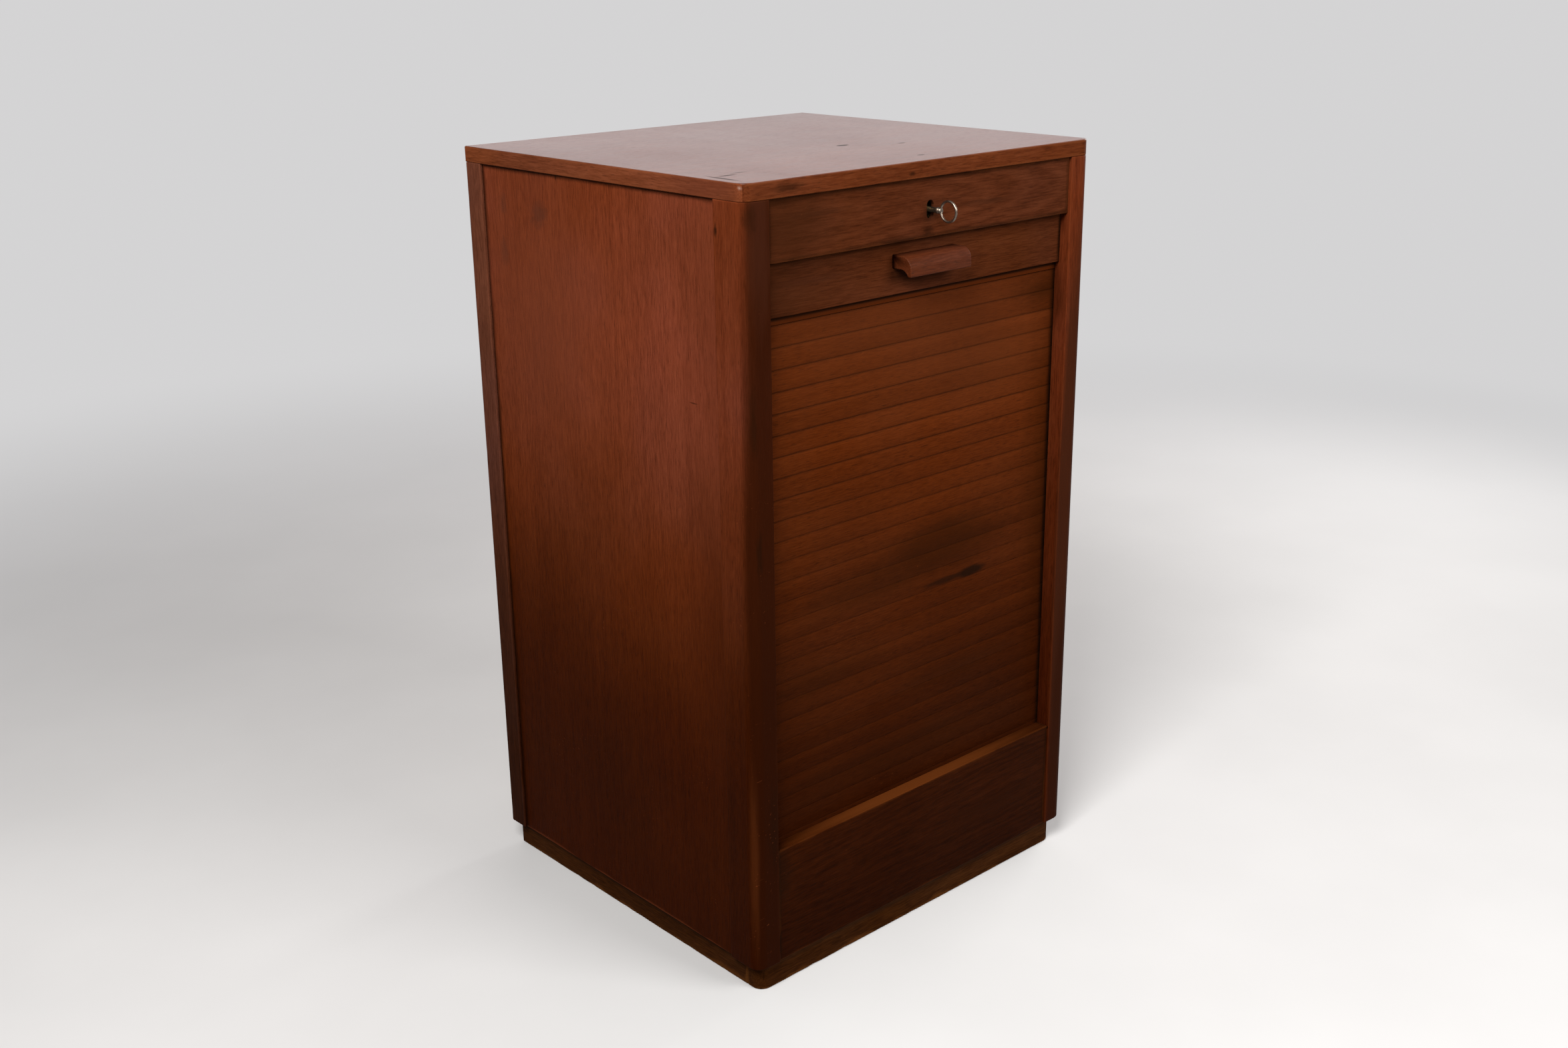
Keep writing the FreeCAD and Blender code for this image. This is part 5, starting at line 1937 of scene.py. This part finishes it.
@dataclass
class Lock:
    """Key, case, follower, hook, strike plate and all slotted screws.

    Sizes in the tables are in millimetres: head radius, head height, shank radius and length of the screws,
    radius and place along the axis of the key's turned rings, and place and height of the bit's corners.
    """

    shop: Workshop
    screws: dict[str, tuple[float, ...]] = field(default_factory=lambda: {
        "back_screws": (3.6, 2.2, 1.7, 16.0), "pull_screws": (3.8, 2.4, 1.9, 22.0),
        "lock_screws": (2.8, 1.3, 1.3, 9.0), "strike_screws": (2.6, 1.3, 1.2, 11.0),
    })
    screw_slot: float = 0.7 * MM
    screw_facing: Point = (0.0, 1.0, 0.0)
    screw_seed: int = 3
    ring_radius: float = 9.6 * MM
    ring_steps: int = 56
    wire: float = 1.2 * MM
    wire_steps: int = 14
    turned: tuple[Pair, ...] = (
        (0.0, -1.2), (1.9, -1.2), (2.6, -0.6), (2.9, 0.2), (2.6, 0.9), (2.4, 1.3), (2.7, 1.9), (3.2, 2.6),
        (3.3, 3.4), (3.2, 4.3), (2.9, 5.0), (2.6, 5.5),
    )
    turned_steps: int = 40
    tip: tuple[Pair, ...] = ((2.55, -0.6), (2.1, 0.0), (0.0, 0.0))
    bit_outline: tuple[Pair, ...] = (
        (-8.0, -1.0), (-8.0, -8.1), (-5.6, -8.1), (-5.6, -6.2), (-4.4, -6.2), (-4.4, -8.1), (-2.2, -8.1),
        (-2.2, -6.8), (0.0, -6.8), (0.0, -1.0),
    )
    bit_half: float = 1.1 * MM
    sharp: float = math.radians(40)
    metals: dict[str, MetalFinish] = field(default_factory=lambda: {
        "lock_case": LOCK_STEEL, "lock_hook": LOCK_STEEL, "strike_plate": LOCK_STEEL,
        "lock_follower": BRASS,
    })

    def key(self) -> None:
        """Turned key with a round bow."""
        node = "key"
        low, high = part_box(node)
        hub_low, hub_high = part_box("lock_follower")
        centre_z = (hub_low.z + hub_high.z) / 2
        ring_y = low.y + self.wire + self.ring_radius
        collar = ring_y + self.ring_radius
        profile = [(radius * MM, collar + along * MM) for radius, along in self.turned]
        profile += [(radius * MM, high.y + along * MM) for radius, along in self.tip]
        bm = bmesh.new()
        self.lathe(bm, profile, centre_z)
        self.ring(bm, ring_y, centre_z)
        self.bit(bm, high.y, centre_z)
        bmesh.ops.recalc_face_normals(bm, faces=bm.faces)
        piece = self.shop.smoothed("key_dressed", bm)
        piece.data.set_sharp_from_angle(angle=self.sharp)
        self.shop.dress(piece, self.shop.finisher.metal(NICKEL, "key_metal"), node)

    def lathe(self, bm: Surface, profile: Sequence[Pair], z: float) -> None:
        """Turns a profile about the key's axis.

        Args:
            bm: mesh that it is added to.
            profile: radius and place along Y of each ring.
            z: height of the axis.
        """
        sides = self.turned_steps
        rings = []
        for radius, y in profile:
            if radius == 0.0:
                rings.append([bm.verts.new((0.0, y, z))])
                continue
            turns = [FULL_TURN * index / sides for index in range(sides)]
            rings.append([bm.verts.new((radius * math.cos(t), y, z + radius * math.sin(t))) for t in turns])
        for first, second in zip(rings, rings[1:]):
            for index in range(sides):
                after = (index + 1) % sides
                corners = [first[index % len(first)], first[after % len(first)]]
                corners += [second[after % len(second)], second[index % len(second)]]
                bm.faces.new(list(dict.fromkeys(corners)))

    def ring(self, bm: Surface, y: float, z: float) -> None:
        """Adds the bow, a ring of round wire in the upright plane.

        Args:
            bm: mesh that it is added to.
            y: place of its middle.
            z: height of its middle.
        """
        around, section = self.ring_steps, self.wire_steps
        rows = []
        for index in range(around):
            turn = FULL_TURN * index / around
            row = []
            for step in range(section):
                lean = FULL_TURN * step / section
                reach = self.ring_radius + self.wire * math.cos(lean)
                place = (self.wire * math.sin(lean), y + reach * math.cos(turn), z + reach * math.sin(turn))
                row.append(bm.verts.new(place))
            rows.append(row)
        for index in range(around):
            first, second = rows[index], rows[(index + 1) % around]
            for step in range(section):
                after = (step + 1) % section
                bm.faces.new((first[step], first[after], second[after], second[step]))

    def bit(self, bm: Surface, tip: float, z: float) -> None:
        """Adds the bit under the shank's end, with two steps cut into it.

        Args:
            bm: mesh that it is added to.
            tip: place of the key's end along Y.
            z: height of the key's axis.
        """
        left, right = (
            [bm.verts.new((x, tip + y * MM, z + up * MM)) for y, up in self.bit_outline]
            for x in (-self.bit_half, self.bit_half)
        )
        bm.faces.new(left)
        bm.faces.new(list(reversed(right)))
        for index in range(len(left)):
            after = (index + 1) % len(left)
            bm.faces.new((left[index], left[after], right[after], right[index]))

    def metalwork(self) -> None:
        """Lock case, follower, hook and strike plate."""
        for node, finish in self.metals.items():
            self.shop.repaint(node, self.shop.finisher.metal(finish, node + "_metal"))

    def fasteners(self) -> None:
        """Slotted screws where the CAD screws are."""
        tool = ScrewTool()
        material = self.shop.finisher.metal(SCREW_STEEL, "screw_metal")
        for index, (node, (head, rise, shank, length)) in enumerate(self.screws.items()):
            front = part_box(node)[1].y
            points = [(x, front, z) for x, _, z in self.shop.loose_middles(node)]
            piece = tool.make(
                node + "_dressed", points, head=head * MM, rise=rise * MM, shank=shank * MM,
                length=length * MM, slot=self.screw_slot, facing=self.screw_facing,
                seed=index + self.screw_seed, material=material,
            )
            self.shop.dress(piece, material, node)

    def build(self) -> None:
        """Makes and dresses every piece."""
        self.key()
        self.metalwork()
        self.fasteners()


@dataclass(frozen=True)
class Lamp:
    """A soft lamp: where it hangs, what it points at, its width and height, its watts and its colour."""

    name: str
    place: Point
    aim: Point
    size: Pair
    power: float
    colour: Colour

    def hang(self) -> None:
        """Adds the lamp to the scene."""
        data = bpy.data.lights.new(self.name, "AREA")
        data.shape = "RECTANGLE"
        data.size, data.size_y = self.size
        data.energy = self.power
        data.color = self.colour
        lamp = bpy.data.objects.new(self.name, data)
        lamp.location = self.place
        lamp.rotation_euler = (Vector(self.aim) - Vector(self.place)).to_track_quat("-Z", "Y").to_euler()
        lamp.visible_camera = False
        bpy.context.scene.collection.objects.link(lamp)


@dataclass
class Studio:
    """Floor, soft lamps, pale surroundings and the camera."""

    eye: Point = (-1.1785, -1.2910, 0.9905)
    yaw: float = 42.11
    pitch: float = 18.86
    roll: float = -0.73
    lens: float = 38.98
    sensor: float = 36.0
    sight: float = 200.0
    floor_reach: float = 60.0
    floor_colour: Colour = (0.70, 0.695, 0.69)
    floor_patches: float = 3.0
    floor_patch_edge: Pair = (0.2, 0.8)
    floor_tones: Pair = (0.97, 1.03)
    floor_roughness: float = 0.9
    floor_shine: float = 0.1
    floor_mirrored: float = 0.3
    floor_fade: Pair = (0.8, 2.8)
    bounce_colour: Colour = (0.26, 0.255, 0.25)
    backdrop: Colour = (0.66, 0.655, 0.66)
    backdrop_light: float = 0.25
    backdrop_mirrored: float = 0.20
    lamps: tuple[Lamp, ...] = (
        Lamp("key_lamp", (-1.45, -0.85, 1.90), (0.0, 0.0, 0.60), (0.9, 0.9), 56.0, (1.0, 0.985, 0.97)),
        Lamp("fill_lamp", (0.55, -2.1, 1.5), (0.0, -0.1, 0.60), (1.2, 1.2), 34.0, (1.0, 0.99, 0.98)),
        Lamp("sheen_lamp", (1.9, 2.1, 1.75), (0.0, 0.0, 0.8), (2.6, 1.7), 14.0, (1.0, 0.86, 0.86)),
        Lamp("side_lamp", (2.2, 0.15, 1.10), (0.2, 0.05, 0.45), (1.0, 1.0), 20.0, (1.0, 0.98, 0.96)),
    )

    def floor(self) -> None:
        """Pale floor that keeps the shadow and fades into the backdrop."""
        mesh = bpy.data.meshes.new("floor")
        reach = self.floor_reach
        corners = [(-reach, -reach, 0), (reach, -reach, 0), (reach, reach, 0), (-reach, reach, 0)]
        mesh.from_pydata(corners, [], [(0, 1, 2, 3)])
        floor = Workshop.show("floor", mesh)
        material, g, shader, place = Finisher.start("floor_paint")
        path = g.add("ShaderNodeLightPath").outputs
        mirrored = g.math("MULTIPLY", path["Is Glossy Ray"], self.floor_mirrored)
        direct = g.math("MAXIMUM", path["Is Camera Ray"], path["Is Transmission Ray"])
        seen = g.math("MAXIMUM", direct, mirrored)
        patches = g.cloud(place, self.floor_patches, detail=4.0)
        shade = g.span(patches, *self.floor_patch_edge, *self.floor_tones)
        pale = g.mix(1.0, self.floor_colour, g.join(shade, shade, shade), "MULTIPLY")
        g.feed(shader.inputs["Base Color"], g.mix(seen, self.bounce_colour, pale))
        g.feed(shader.inputs["Roughness"], self.floor_roughness)
        g.feed(shader.inputs["Specular IOR Level"], self.floor_shine)
        glow = g.add("ShaderNodeEmission", {"Color": self.backdrop, "Strength": 1.0})
        far = g.math("MULTIPLY", g.span(g.vector("LENGTH", place), *self.floor_fade), seen)
        both = g.add("ShaderNodeMixShader", {0: far, 1: shader.outputs[0], 2: glow.outputs[0]})
        g.feed(g.tree.nodes["Material Output"].inputs["Surface"], both.outputs[0])
        mesh.materials.append(material)

    def light(self) -> None:
        """Soft key from the upper left, weak fill, panels behind and at the right, and pale surroundings."""
        for lamp in self.lamps:
            lamp.hang()
        world = bpy.data.worlds.new("surroundings")
        bpy.context.scene.world = world
        world.use_nodes = True
        g = Graph(world.node_tree)
        back = world.node_tree.nodes["Background"]
        path = g.add("ShaderNodeLightPath").outputs
        shares = (self.backdrop_mirrored, self.backdrop_light)
        mirrored = g.math("MULTIPLY_ADD", path["Is Glossy Ray"], *shares)
        direct = g.math("MAXIMUM", path["Is Camera Ray"], path["Is Transmission Ray"])
        g.feed(back.inputs["Color"], self.backdrop)
        g.feed(back.inputs["Strength"], g.math("MAXIMUM", direct, mirrored))

    def camera(self) -> None:
        """Camera at the photograph's angle."""
        yaw, pitch, roll = (math.radians(value) for value in (self.yaw, self.pitch, self.roll))
        ahead = Vector((math.sin(yaw) * math.cos(pitch), math.cos(yaw) * math.cos(pitch), -math.sin(pitch)))
        right = Vector((math.cos(yaw), -math.sin(yaw), 0.0))
        up = right.cross(ahead)
        rolled_right = right * math.cos(roll) + up * math.sin(roll)
        rolled_up = up * math.cos(roll) - right * math.sin(roll)
        turn = Matrix((rolled_right, rolled_up, -ahead)).transposed()
        data = bpy.data.cameras.new("view")
        data.sensor_width = self.sensor
        data.lens = self.lens
        data.clip_end = self.sight
        camera = bpy.data.objects.new("view", data)
        camera.matrix_world = Matrix.Translation(self.eye) @ turn.to_4x4()
        bpy.context.scene.collection.objects.link(camera)
        bpy.context.scene.camera = camera

    def build(self) -> None:
        """Sets the stage."""
        bpy.context.scene.view_settings.view_transform = "Standard"
        self.floor()
        self.light()
        self.camera()


def main() -> None:
    """Builds the cabinet's looks piece by piece."""
    logging.basicConfig(level=logging.INFO, format="%(name)s: %(message)s")
    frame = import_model()
    shop = Workshop(frame, Finisher(ShaderKit()))
    for assembly in (Carcass(shop), Plinth(shop), Interior(shop), Shutter(shop), Lock(shop)):
        assembly.build()
        LOG.info("%s is dressed", type(assembly).__name__)
    Studio().build()


if __name__ == "__main__":
    main()
